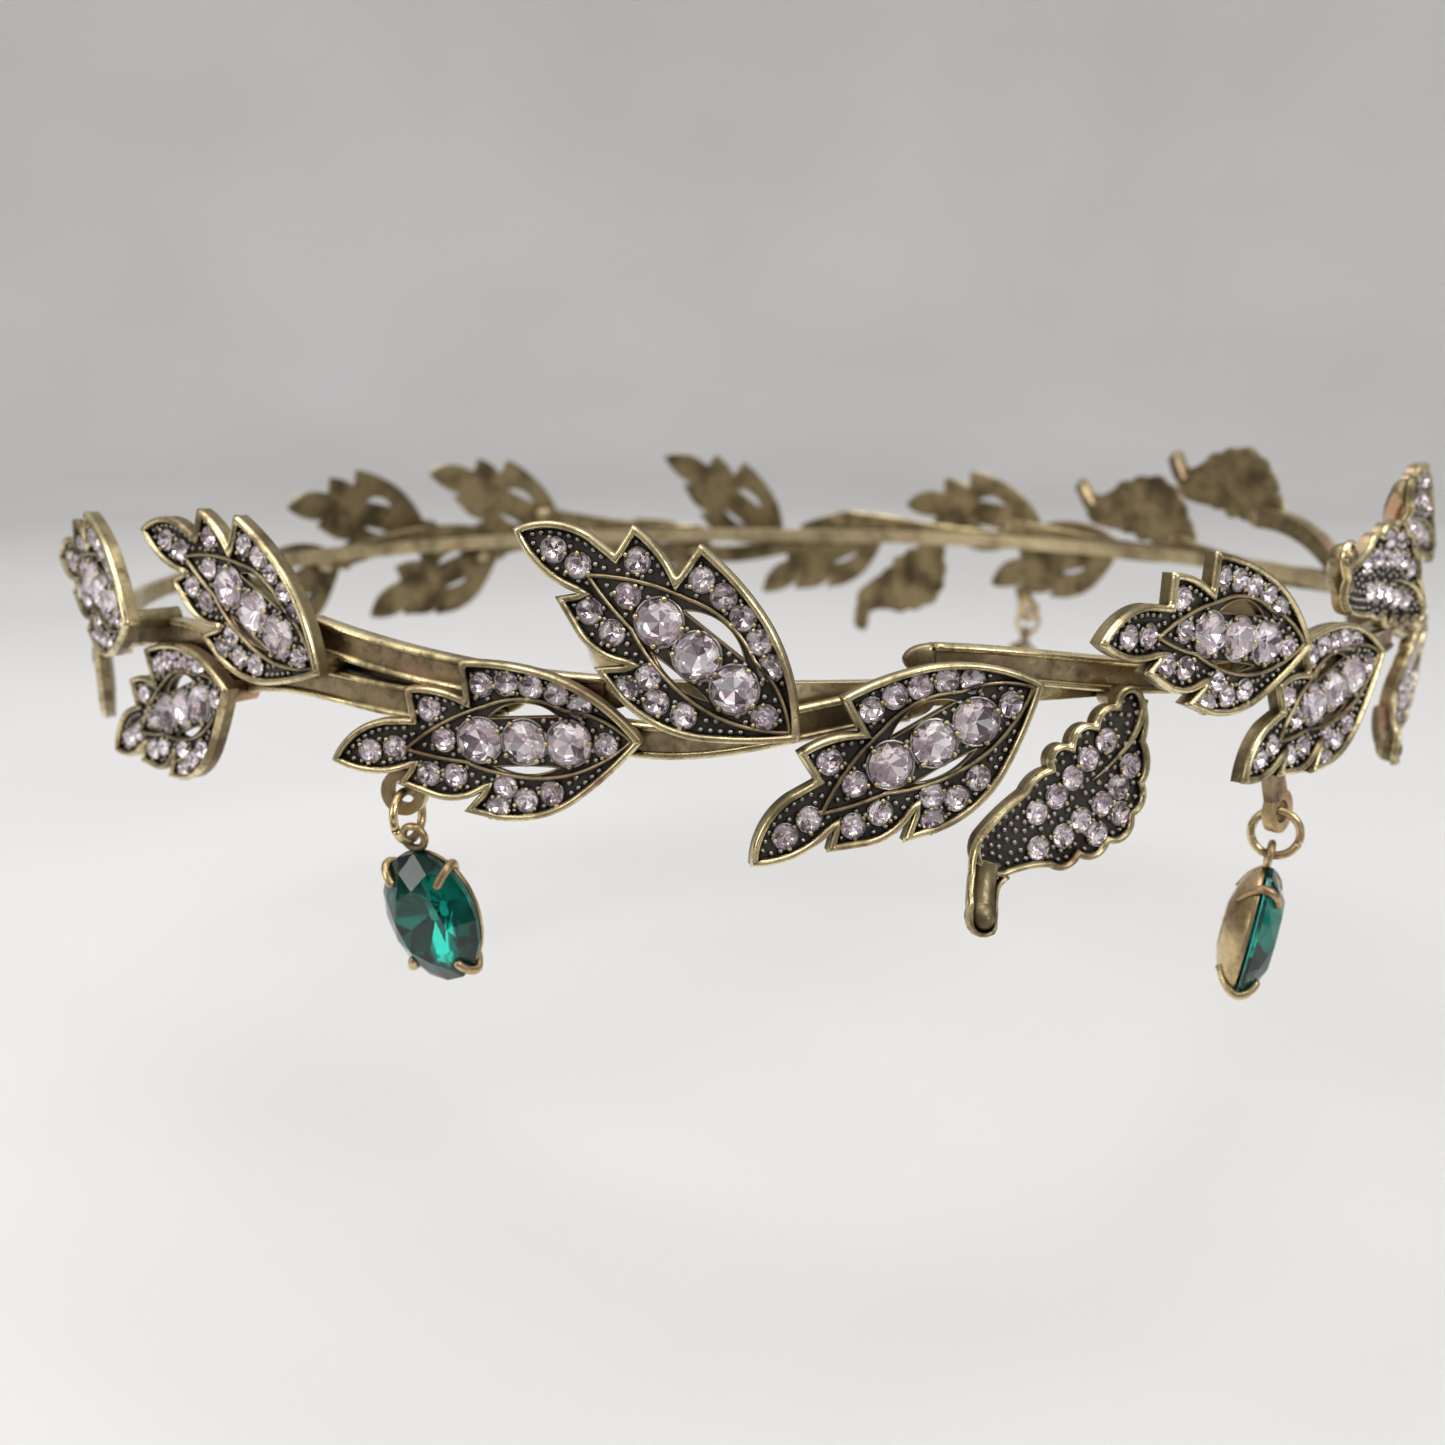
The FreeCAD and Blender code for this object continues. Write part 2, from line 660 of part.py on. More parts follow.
def make_drop_leaf():
    """The small leaf casting at the front, with the loop for the middle drop."""
    length = size("drop_leaf_length")
    outer = size("loop_outer_radius")
    centre = V(length + DROP_LEAF_LOOP_GAP, 0, 0)
    ring = Part.makeCylinder(outer, size("loop_thickness"), centre)
    hole = Part.makeCylinder(size("loop_hole_radius"), 3 * size("loop_thickness"),
                             centre - V(0, 0, size("loop_thickness")))
    return placed(drop_leaf.Shape.fuse(ring).cut(hole), drop_leaf_placement())


keep(static_shape("front_drop_leaf", make_drop_leaf()))
for kind, places in (("small", DROP_LEAF_STONES), ("large", DROP_LEAF_LARGE_STONES)):
    group = []
    for s, t in places:
        spot = V(s * size("drop_leaf_length"), t * size("drop_leaf_length"), 0)
        place = drop_leaf_placement().multiply(FreeCAD.Placement(spot, FreeCAD.Rotation()))
        group.append(placed(STONE_PATTERNS[kind].Shape, place))
    keep(static_shape("%s_stones_drop_leaf" % kind, Part.makeCompound(group)))


# ---------------------------------------------------------------- drops

# A drop's own frame: origin at the middle of its jump ring, x along the hoop, y towards the
# head, z up. The oval stone's girdle lies in a plane just outside the ring's middle.

def oval_place():
    """The middle of the oval's girdle in the drop's frame."""
    hang = size("jump_ring_radius") + size("drop_loop_radius") + size("drop_loop_wire_radius")
    return V(0, -GIRDLE_FORWARD, -(hang + size("cup_wall") + size("drop_half_height") - LOOP_SINK))


def oval_in_place(shape):
    """Stands a flat oval (y up its length, z outwards) upright in the drop's frame."""
    return placed(shape, FreeCAD.Placement(oval_place(), FreeCAD.Rotation(V(1, 0, 0), 90)))


def make_setting():
    """The open-backed cup with its hanging loop and four claws."""
    half_width, half_height = size("drop_half_width"), size("drop_half_height")
    wall, depth = size("cup_wall"), size("cup_depth")
    back_width, back_height = BACK_SHARE * half_width, BACK_SHARE * half_height
    outside = ellipse_loft([(half_width + wall, half_height + wall, CUP_LIP),
                            (back_width + wall, back_height + wall, -depth)])
    room_width, room_height = half_width + CUP_CLEARANCE, half_height + CUP_CLEARANCE
    inside = ellipse_loft([(room_width, room_height, CUP_LIP + CUP_THROUGH),
                           (room_width, room_height, -CUP_THROUGH),
                           (back_width, back_height, -depth - CUP_THROUGH)])
    parts = [outside.cut(inside)]
    claw = size("claw_radius")
    for across in (-1, 1):
        for up in (-1, 1):
            foot = V(across * (half_width + claw) * CLAW_ACROSS,
                     up * (half_height + claw) * CLAW_UP, -CLAW_FOOT)
            parts.append(Part.makeCylinder(claw, CLAW_RISE, foot))
            parts.append(Part.makeSphere(CLAW_TIP_SHARE * claw, foot + V(0, 0, CLAW_RISE)))
    whole = oval_in_place(fused(parts))
    loop = Part.makeTorus(size("drop_loop_radius"), size("drop_loop_wire_radius"),
                          V(0, 0, -size("jump_ring_radius")), V(0, 1, 0))
    return whole.fuse(loop)


def make_oval_stone():
    """The oval stone: flat table, sloping crown, girdle and tapering pavilion."""
    half_width, half_height = size("drop_half_width"), size("drop_half_height")
    girdle = size("girdle_height")
    sections = [(OVAL_BACK[0] * half_width, OVAL_BACK[1] * half_height, -size("pavilion_depth")),
                (half_width, half_height, 0),
                (half_width, half_height, girdle),
                (OVAL_TABLE[0] * half_width, OVAL_TABLE[1] * half_height,
                 girdle + size("crown_height"))]
    return oval_in_place(ellipse_loft(sections))


setting_pattern = static_shape("drop_setting_pattern", make_setting())
oval_pattern = static_shape("oval_stone_pattern", make_oval_stone())


def loop_hole(leaf):
    """The middle of a leaf's hanging loop, on the left side."""
    along, across = HANGING_LOOPS[leaf]
    length = size("leaf_length")
    return leaf_placement(leaf_spec(leaf)).multVec(V(along * length, across * length,
                                                      size("loop_thickness") / 2))


def front_loop_hole():
    length = size("drop_leaf_length")
    hole = V(length + DROP_LEAF_LOOP_GAP, 0, size("loop_thickness") / 2)
    return drop_leaf_placement().multVec(hole)


def ring_placement(hole, hang, side):
    """The jump ring's middle, hung from a loop's hole, leaning and turned as at rest."""
    angle = math.degrees(math.atan2(hole.x, -hole.y))
    facing = FreeCAD.Rotation(V(0, 0, 1), angle - side * hang["turn"])
    lean = FreeCAD.Rotation(V(0, 1, 0), side * hang["lean"])
    rotation = facing.multiply(lean)
    drop = rotation.multVec(V(0, 0, -size("jump_ring_radius")))
    return FreeCAD.Placement(hole + drop, rotation)


def make_drop(name, hole, hang, side):
    """One drop: its jump ring, its setting and its oval stone."""
    place = ring_placement(hole, hang, side)
    ring = doc.addObject("Part::Torus", "jump_ring_" + name)
    ring.Label = "jump_ring_" + name
    bind(ring, "Radius1", "<jump_ring_radius>")
    bind(ring, "Radius2", "<jump_wire_radius>")
    upright = FreeCAD.Placement(V(0, 0, 0), FreeCAD.Rotation(V(0, 1, 0), 90))
    ring.Placement = place.multiply(upright)
    keep(ring)
    hanging = FreeCAD.Placement(V(0, 0, 0), FreeCAD.Rotation(V(1, 0, 0), hang["tilt"]))
    tilted = place.multiply(hanging)
    keep(static_shape("drop_setting_" + name, placed(setting_pattern.Shape, tilted)))
    keep(static_shape("green_stone_" + name, placed(oval_pattern.Shape, tilted)))


def mirrored_point(point, side):
    return V(side * point.x, point.y, point.z)


make_drop("front", front_loop_hole(), DROPS["front"], LEFT)
for leaf, drop_name in (("brow_lower", "brow"), ("side_lower", "side")):
    for side, side_name in SIDE_NAMES.items():
        make_drop("%s_%s" % (drop_name, side_name), mirrored_point(loop_hole(leaf), side),
                  DROPS[leaf], side)

doc.recompute()


# ---------------------------------------------------------------- checks and files

def check_and_write():
    """Stops on a failed feature or a broken shape, then writes one file for each piece."""
    for item in doc.Objects:
        if "Invalid" in item.State or "Error" in item.State:
            raise ValueError("%s failed: %s" % (item.Name, item.State))
    for piece in pieces:
        if piece.Shape.isNull() or not piece.Shape.isValid():
            raise ValueError("%s has no valid shape" % piece.Label)
    os.makedirs("parts", exist_ok=True)
    for piece in pieces:
        piece.Shape.exportStep(os.path.join("parts", piece.Label + ".step"))


check_and_write()
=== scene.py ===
import math
import random

import bpy
import numpy as np
from mathutils import Matrix, Vector


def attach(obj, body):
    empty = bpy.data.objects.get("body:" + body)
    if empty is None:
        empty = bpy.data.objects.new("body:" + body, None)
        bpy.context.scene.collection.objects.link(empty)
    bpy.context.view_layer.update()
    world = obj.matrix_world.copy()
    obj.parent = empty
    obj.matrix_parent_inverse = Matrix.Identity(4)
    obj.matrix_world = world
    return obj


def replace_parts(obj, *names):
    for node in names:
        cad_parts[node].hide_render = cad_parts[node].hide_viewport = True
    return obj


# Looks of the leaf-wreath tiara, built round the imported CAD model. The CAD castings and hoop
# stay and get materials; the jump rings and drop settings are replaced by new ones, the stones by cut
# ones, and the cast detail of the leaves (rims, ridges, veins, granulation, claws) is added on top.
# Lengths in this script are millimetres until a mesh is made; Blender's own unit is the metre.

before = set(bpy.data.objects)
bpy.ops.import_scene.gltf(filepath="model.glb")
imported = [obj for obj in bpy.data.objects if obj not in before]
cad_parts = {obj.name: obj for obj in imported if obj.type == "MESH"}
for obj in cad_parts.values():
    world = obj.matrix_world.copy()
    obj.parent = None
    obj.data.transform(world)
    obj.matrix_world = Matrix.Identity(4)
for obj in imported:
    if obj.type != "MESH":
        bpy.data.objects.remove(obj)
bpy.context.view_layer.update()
MM = 0.001
rng = random.Random(7)

# -------------------- the design's places and outlines

# Each leaf: base angle, height, radius, then tip angle, height, radius of its back face.
LEAVES = {
    "back_upper": (134.0, 3.2, 90.35, 152.6, 7.9, 90.35),
    "back_lower": (147.0, -1.5, 88.3, 166.0, -12.0, 88.3),
    "rear_upper": (115.9, 0.9, 88.6, 133.6, 13.1, 88.3),
    "rear_lower": (124.5, -2.0, 88.3, 142.7, -12.7, 88.3),
    "side_upper": (86.8, -2.0, 93.8, 102.0, 15.2, 91.0),
    "side_lower": (95.4, -3.5, 88.3, 114.7, -6.7, 90.2),
    "temple_upper": (73.3, 1.8, 91.0, 89.7, -13.0, 94.5),
    "brow_upper": (53.1, 2.9, 89.8, 71.7, 5.7, 94.6),
    "brow_lower": (41.5, 0.3, 88.4, 59.5, -9.1, 91.2),
}
CURLED_LEAVES = {
    "temple_curl": (66.0, -0.1, 88.4, 77.7, -18.0, 91.5),
    "front_upper_curl": (31.0, 2.2, 88.2, 44.8, 8.2, 86.0),
    "front_top_curl": (17.4, 7.5, 88.2, 31.2, 13.8, 85.0),
    "front_lower_curl": (17.1, -1.0, 88.2, 30.0, -10.6, 85.5),
}
TURNS_UP = ("front_upper_curl", "front_top_curl")
SPRIGS = {
    "back": ("back_upper", "back_lower"),
    "rear": ("rear_upper", "rear_lower"),
    "side": ("side_upper", "side_lower"),
    "temple": ("temple_upper", "temple_curl"),
    "brow": ("brow_upper", "brow_lower"),
    "front": ("front_top_curl", "front_upper_curl", "front_lower_curl"),
}
STEMS = {
    "back": [[(150.5, -1.5), (143.0, 0.4), (136.0, 1.8), (127.5, 1.0)]],
    "rear": [
        [(118.5, 4.2), (113.0, 2.6), (105.0, 0.9), (98.0, 0.2)],
        [(127.0, -2.2), (118.0, -0.6), (111.0, -1.6), (104.5, -0.6)],
    ],
    "side": [[(97.5, -3.6), (92.5, -3.9), (86.5, -2.3), (80.0, -0.6)]],
    "temple": [[(78.5, 3.2), (72.5, 2.3), (66.0, 1.0), (57.0, 0.3)]],
    "brow": [[(55.5, 2.4), (49.0, 1.3), (42.0, 0.2), (33.0, 0.2)]],
    "front": [
        [(32.2, 2.0), (22.0, -0.6), (11.0, -0.6), (1.4, 0.0)],
        [(19.0, 7.7), (12.5, 6.9), (6.5, 4.2), (1.8, 0.8)],
    ],
}
STEM_RADIUS = 86.8
STEM_WIDTH = 3.0

LARGE_OUTLINE = [
    [(0.913, 0.087), (0.807, 0.118)],
    [(0.720, 0.114)],
    [(0.724, 0.210)],
    [(0.625, 0.200), (0.538, 0.163)],
    [(0.539, 0.279)],
    [(0.400, 0.262), (0.263, 0.221)],
    [(0.120, 0.135), (0.0, 0.0)],
    [(0.097, -0.083), (0.210, -0.162)],
    [(0.346, -0.214), (0.475, -0.213)],
    [(0.584, -0.182)],
    [(0.508, -0.116)],
    [(0.578, -0.143), (0.681, -0.133)],
    [(0.790, -0.085)],
    [(0.741, -0.035)],
    [(0.870, -0.048), (1.0, 0.0)],
]
LARGE_WINDOWS = [
    [(0.474, 0.098), (0.364, 0.139), (0.252, 0.090), (0.360, 0.094)],
    [(0.482, -0.050), (0.370, -0.086), (0.258, -0.064), (0.362, -0.052)],
]
LARGE_STONES = [(0.509, 0.033), (0.367, 0.019), (0.227, 0.007)]
SMALL_STONES = [
    (0.626, 0.041), (0.112, -0.006), (0.874, 0.019), (0.790, 0.024), (0.659, 0.137),
    (0.481, 0.202), (0.402, 0.200), (0.324, 0.184), (0.248, 0.158), (0.180, 0.118),
    (0.690, -0.062), (0.602, -0.072), (0.446, -0.113), (0.478, -0.178), (0.385, -0.160),
    (0.300, -0.142),
]
# The almond-shaped ridge round the large stones, from the leaf's base round its point.
ALMOND = [
    [(0.080, 0.050), (0.226, 0.108)],
    [(0.353, 0.150), (0.474, 0.137)],
    [(0.613, 0.096), (0.750, 0.020)],
    [(0.650, -0.012), (0.561, -0.030)],
    [(0.440, -0.076), (0.304, -0.094)],
    [(0.140, -0.060), (0.030, 0.004)],
]
CURLED_OUTLINE = [
    [(0.030, 0.060), (0.120, 0.050)],
    [(0.190, 0.088), (0.245, 0.070)],
    [(0.320, 0.122), (0.385, 0.098)],
    [(0.470, 0.145), (0.515, 0.104)],
    [(0.600, 0.135), (0.660, 0.128)],
    [(0.780, 0.152), (0.900, 0.160)],
    [(0.980, 0.130), (1.010, 0.070)],
    [(1.005, 0.010), (0.970, -0.050)],
    [(0.880, -0.110), (0.800, -0.190)],
    [(0.750, -0.262), (0.680, -0.270)],
    [(0.625, -0.340), (0.545, -0.340)],
    [(0.460, -0.392), (0.385, -0.352)],
    [(0.310, -0.350), (0.255, -0.290)],
    [(0.175, -0.245), (0.130, -0.165)],
    [(0.055, -0.105), (0.0, 0.0)],
]
CURLED_STONES = [
    (0.250, -0.030), (0.360, -0.018), (0.465, -0.018), (0.570, -0.014), (0.677, 0.011),
    (0.245, -0.195), (0.347, -0.215), (0.447, -0.205), (0.561, -0.176), (0.664, -0.158),
    (0.778, -0.102), (0.416, -0.304), (0.553, -0.277),
]
CURLED_VEIN = [[(0.110, -0.100), (0.250, -0.118)], [(0.330, -0.113), (0.410, -0.098)]]
SPOUT_EDGE = [
    [(0.975, 0.135), (1.055, 0.085)],
    [(1.130, 0.050), (1.195, 0.000)],
    [(1.225, -0.075), (1.180, -0.125)],
    [(1.110, -0.100), (1.060, -0.068)],
    [(1.010, -0.050), (0.960, -0.060)],
]
DROP_LEAF_OUTLINE = [
    [(0.300, 0.350), (0.620, 0.300)],
    [(0.850, 0.180), (1.0, 0.0)],
    [(0.850, -0.180), (0.620, -0.300)],
    [(0.300, -0.350), (0.0, 0.0)],
]
DROP_LEAF_STONES = [(0.130, 0.0), (0.770, 0.0)]
DROP_LEAF_LARGE_STONES = [(0.450, 0.0)]
LEAF_LENGTH = 30.0
CURL_LENGTH = 22.0
DROP_LEAF_LENGTH = 10.5
LEAF_TOP = 1.25
FLOOR = 0.85
GIRDLE = 1.0
SMALL_RADIUS = 1.05
RING_RADIUS = 2.3
RING_WIRE = 0.42
LARGE_RADIUS = 2.0
# How far a stone may reach below its girdle without meeting the bottom of its seat.
SEAT_ROOM = 0.70

# -------------------- frames round the hoop


def around(angle, height, radius):
    """A point on the wearer's left side, at this angle from the front."""
    turn = math.radians(angle)
    return Vector((radius * math.sin(turn), -radius * math.cos(turn), height))


def axes_matrix(origin, x_axis, y_axis, z_axis):
    """A 4x4 array that takes local millimetres to the row frame, in millimetres."""
    matrix = np.eye(4)
    for column, vector in enumerate((x_axis, y_axis, z_axis, origin)):
        matrix[:3, column] = vector
    return matrix


def leaf_matrix(spec):
    """The frame of a leaf on the left side: x from base to tip, z outwards."""
    base = around(*spec[0:3])
    along = (around(*spec[3:6]) - base).normalized()
    outward = around((spec[0] + spec[3]) / 2, 0, 1)
    outward = (outward - along * outward.dot(along)).normalized()
    return axes_matrix(base, along, outward.cross(along), outward)


MIRROR = np.diag([-1.0, 1.0, 1.0, 1.0])
SIDES = {"left": np.eye(4), "right": MIRROR}
DROP_LEAF_MATRIX = axes_matrix((0, -86.82, 2.2), (0, 0, -1), (1, 0, 0), (0, -1, 0))


# -------------------- mesh building


def add_object(name, data):
    thing = bpy.data.objects.new(name, data)
    bpy.context.scene.collection.objects.link(thing)
    return thing


def dress(mesh, materials):
    mesh.materials.clear()
    for material in materials:
        mesh.materials.append(material)


def new_mesh(name, points, faces, materials):
    mesh = bpy.data.meshes.new(name)
    mesh.from_pydata(points, [], faces)
    dress(mesh, materials)
    return mesh


class Solids:
    """Collects points, faces, material numbers and colours, partly painted reflections; makes one
    mesh object.
    """

    def __init__(self):
        self.points, self.faces, self.kinds, self.tints, self.flat = [], [], [], [], []
        self.count = 0

    def add(self, points, faces, matrix, kind=0, tints=None, flat=False):
        points = np.asarray(points, float)
        placed = points @ matrix[:3, :3].T + matrix[:3, 3]
        turned = np.linalg.det(matrix[:3, :3]) < 0
        for number, face in enumerate(faces):
            indices = [self.count + index for index in face]
            self.faces.append(indices[::-1] if turned else indices)
            self.kinds.append(kind if isinstance(kind, int) else kind[number])
            self.tints.append(tints[number] if tints else (1.0, 1.0, 1.0))
            self.flat.append(flat)
        self.points.append(placed)
        self.count += len(points)

    def make(self, name, materials, body, slot):
        points = (np.concatenate(self.points) * MM).tolist()
        mesh = new_mesh(name, points, self.faces, materials)
        mesh.polygons.foreach_set("material_index", self.kinds)
        mesh.polygons.foreach_set("use_smooth", [not flat for flat in self.flat])
        # Per-face colours; on the stones they are painted reflections, light and dark by facet.
        tint = mesh.color_attributes.new("tint", "FLOAT_COLOR", "CORNER")
        values = []
        for face, colour in zip(self.faces, self.tints):
            values.extend((*colour, 1.0) * len(face))
        tint.data.foreach_set("color", values)
        mesh.update()
        piece = add_object(name, mesh)
        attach(piece, body)
        return piece

    def stand_in(self, node, name, materials, body, slot):
        """Makes the object and puts it in the place of a CAD node."""
        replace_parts(self.make(name, materials, body, slot), node)


def skin(rings, sides, closed=False):
    """Quads between rings of points that follow each other, and a cap at both open ends."""
    faces = []
    for ring in range(rings if closed else rings - 1):
        here, there = ring * sides, (ring + 1) % rings * sides
        for k in range(sides):
            n = (k + 1) % sides
            faces.append((here + k, here + n, there + n, there + k))
    if not closed:
        faces.append(tuple(reversed(range(sides))))
        faces.append(tuple((rings - 1) * sides + k for k in range(sides)))
    return faces


def fan(rings, sides):
    """Triangles from point 0 to the first ring, then quads from each ring to the next."""
    faces = [(0, 1 + k, 1 + (k + 1) % sides) for k in range(sides)]
    for ring in range(rings - 1):
        here, there = 1 + ring * sides, 1 + (ring + 1) * sides
        for k in range(sides):
            n = (k + 1) % sides
            faces.append((here + k, there + k, there + n, here + n))
    return faces


def arc_points(start, middle, end, steps):
    """Points of the circular arc through three points, without its first one."""
    ax, ay = start
    bx, by = middle
    cx, cy = end
    shares = [k / steps for k in range(1, steps + 1)]
    d = 2 * (ax * (by - cy) + bx * (cy - ay) + cx * (ay - by))
    if abs(d) < 1e-9:
        return [(ax + (cx - ax) * share, ay + (cy - ay) * share) for share in shares]
    sa, sb, sc = ax * ax + ay * ay, bx * bx + by * by, cx * cx + cy * cy
    ux = (sa * (by - cy) + sb * (cy - ay) + sc * (ay - by)) / d
    uy = (sa * (cx - bx) + sb * (ax - cx) + sc * (bx - ax)) / d
    first = math.atan2(ay - uy, ax - ux)
    mid = (math.atan2(by - uy, bx - ux) - first) % math.tau
    last = (math.atan2(cy - uy, cx - ux) - first) % math.tau
    if mid > last:
        last -= math.tau
    radius = math.hypot(ax - ux, ay - uy)
    turns = [first + last * share for share in shares]
    return [(ux + radius * math.cos(t), uy + radius * math.sin(t)) for t in turns]


PATH_STEP = 0.45


def outline_path(outline, length, start=None):
    """The outline as evenly spaced points, in millimetres; corners stay sharp."""
    here = start or outline[-1][-1]
    here = (here[0] * length, here[1] * length)
    path = []
    for stretch in outline:
        points = [(s * length, t * length) for s, t in stretch]
        end = points[-1]
        steps = max(2, round(math.dist(here, end) / PATH_STEP))
        if len(points) == 1:
            points.insert(0, ((here[0] + end[0]) / 2, (here[1] + end[1]) / 2))
        path += arc_points(here, points[0], end, steps)
        here = end
    return np.array(path)


def path_normals(path, closed=True):
    """Mitre vectors that point to the left of the path, longer at corners."""
    if closed:
        before, after = np.roll(path, 1, 0), np.roll(path, -1, 0)
    else:
        before = np.vstack([2 * path[0] - path[1], path[:-1]])
        after = np.vstack([path[1:], 2 * path[-1] - path[-2]])
    first, second = path - before, after - path
    first /= np.linalg.norm(first, axis=1)[:, None]
    second /= np.linalg.norm(second, axis=1)[:, None]
    left = np.stack([-first[:, 1] - second[:, 1], first[:, 0] + second[:, 0]], 1)
    size = np.linalg.norm(left, axis=1)
    left /= size[:, None]
    return left / np.clip(size / 2, 0.55, 1)[:, None]


def signed_area(path):
    x, y = path[:, 0], path[:, 1]
    return 0.5 * float(np.sum(x * np.roll(y, -1) - y * np.roll(x, -1)))


# Share by which a cast bar's section varies along it.
UNEVENNESS = 0.06


def wander(count):
    """A smooth closed variation about 1, for hand-finished edges."""
    turn = np.arange(count) / count * math.tau
    waves = sum(np.sin(turn * rng.randint(3, 17) + rng.random() * 6) for _ in range(4)) / 4
    return 1 + UNEVENNESS * waves


def swept(path, profile, closed=True, taper=None):
    """A bar along a flat path; its section is given as (offset to the left, height) points."""
    count, rows = len(path), len(profile)
    normals = path_normals(path, closed)
    scale = wander(count) if taper is None else wander(count) * taper
    points = np.zeros((count, rows, 3))
    lowest = min(height for _, height in profile)
    for row, (offset, height) in enumerate(profile):
        points[:, row, :2] = path + normals * offset * (scale[:, None] if taper is not None else 1)
        points[:, row, 2] = lowest + (height - lowest) * scale
    return points.reshape(-1, 3), skin(count, rows, closed)


def half_round(inner, outer, foot, top, steps=6):
    """A half-round section between two offsets, from its foot height to its crest."""
    middle, half = (inner + outer) / 2, (outer - inner) / 2
    section = []
    for k in range(steps + 1):
        turn = math.pi * k / steps
        section.append((middle - half * math.cos(turn), foot + 0.25 * (top - foot)
                        + 0.75 * (top - foot) * math.sin(turn)))
    return [(inner, foot)] + section + [(outer, foot)]


# A bead's rings below its top, as (share of the radius, height as a share of the radius).
BEAD_RINGS = ((0.62, 0.78), (1.0, 0.1), (1.0, -0.6))


def bead(radius, sides):
    """A low dome: the visible part of a cast grain or claw."""
    points = [(0, 0, radius)]
    for ring, (share, height) in enumerate(BEAD_RINGS):
        for k in range(sides):
            turn = math.tau * (k + 0.5 * ring) / sides
            points.append((radius * share * math.cos(turn), radius * share * math.sin(turn),
                           radius * height))
    faces = fan(len(BEAD_RINGS), sides)
    faces.append(tuple(1 + 2 * sides + k for k in reversed(range(sides))))
    return np.array(points), faces


def bezel(inner, outer, foot, top, sides):
    """A thin collar round a stone, a little lower at its inner and outer edge."""
    turns = [math.tau * k / sides for k in range(sides)]
    path = np.array([(inner * math.cos(turn), inner * math.sin(turn)) for turn in turns])
    wall = outer - inner
    profile = [(-wall, foot), (-wall, top - 0.08), (-wall / 2, top), (0.0, top - 0.06), (0.0, foot)]
    return swept(path, profile)


def at(x, y, z):
    """A local shift, as a 4x4 array."""
    matrix = np.eye(4)
    matrix[:3, 3] = x, y, z
    return matrix


def inside(points, polygon):
    """Which points lie inside a closed polygon."""
    x, y = points[:, 0][:, None], points[:, 1][:, None]
    ax, ay = polygon[:, 0][None], polygon[:, 1][None]
    bx, by = np.roll(polygon[:, 0], -1)[None], np.roll(polygon[:, 1], -1)[None]
    crosses = ((ay > y) != (by > y)) & (x < (bx - ax) * (y - ay) / (by - ay + 1e-12) + ax)
    return crosses.sum(1) % 2 == 1


def nearest(points, path):
    """Distance from each point to the nearest point of a path."""
    return np.sqrt(((points[:, None] - path[None]) ** 2).sum(2)).min(1)


# -------------------- cut stones

# Colours of the foil behind the stones; every facet draws one. They are partly the foil's own
# lilac or green and partly painted reflections: the light and dark facets stand in for the sparkle.
LILAC_AND_PAINTED_REFLECTIONS = [(0.92, 0.89, 0.90), (0.66, 0.57, 0.62), (0.86, 0.81, 0.82), (0.40, 0.32, 0.35),
         (0.72, 0.62, 0.63), (0.17, 0.13, 0.14)]
EMERALD_AND_PAINTED_REFLECTIONS = [(0.00, 0.27, 0.22), (0.00, 0.16, 0.14), (0.01, 0.42, 0.36), (0.00, 0.08, 0.08)]
GLASS, FOIL = 0, 1
MAIN_FACETS = 8


def cut_stone(half_x, half_y, table, crown, girdle, depth, culet, colours_and_painted_reflections):
    """A cut stone about z 0 at the foot of its girdle: brilliant crown and foiled pavilion.

    Table and culet are shares of the half sizes; crown, girdle and depth are heights.
    """
    mains, step = MAIN_FACETS, math.tau / MAIN_FACETS

    def ring(count, share, height, shift=0.0):
        return [(half_x * share * math.cos(math.tau * k / count + shift),
                 half_y * share * math.sin(math.tau * k / count + shift), height)
                for k in range(count)]

    points, faces, kinds = [], [], []

    def level(new):
        points.extend(new)
        return len(points) - len(new)

    table_ring = level(ring(mains, table, girdle + crown))
    kite_ring = level(ring(mains, (table + 1) / 2 * 1.04, girdle + 0.52 * crown, step / 2))
    upper = level(ring(2 * mains, 1.0, girdle))
    lower = level(ring(2 * mains, 1.0, 0.0))
    pavilion = level(ring(mains, 0.56, -0.55 * depth, step / 2))
    tip = level(ring(mains, culet, -depth))

    def face(kind, *indices):
        faces.append(indices)
        kinds.append(kind)

    face(GLASS, *[table_ring + k for k in range(mains)])
    for k in range(mains):
        n = (k + 1) % mains
        face(GLASS, table_ring + k, kite_ring + k, table_ring + n)
        low, mid, high = 2 * k, 2 * k + 1, (2 * k + 2) % (2 * mains)
        face(GLASS, kite_ring + k, upper + low, upper + mid)
        face(GLASS, kite_ring + k, upper + mid, upper + high)
        face(GLASS, table_ring + n, kite_ring + k, upper + high, kite_ring + n)
        for a, b in ((low, mid), (mid, high)):
            face(GLASS, upper + a, lower + a, lower + b, upper + b)
        face(FOIL, lower + low, pavilion + k, lower + mid)
        face(FOIL, lower + mid, pavilion + k, lower + high)
        face(FOIL, lower + high, pavilion + k, tip + n, pavilion + n)
        face(FOIL, pavilion + k, tip + k, tip + n)
    face(FOIL, *[tip + k for k in reversed(range(mains))])
    # Each facet draws a colour at random: light and dark facets are painted reflections over the
    # foil's own colour.
    tints = [rng.choice(colours_and_painted_reflections) for _ in faces]
    return np.array(points), faces, kinds, tints


# How far a rhinestone may lean in its seat, in degrees.
STONE_LEAN = 5


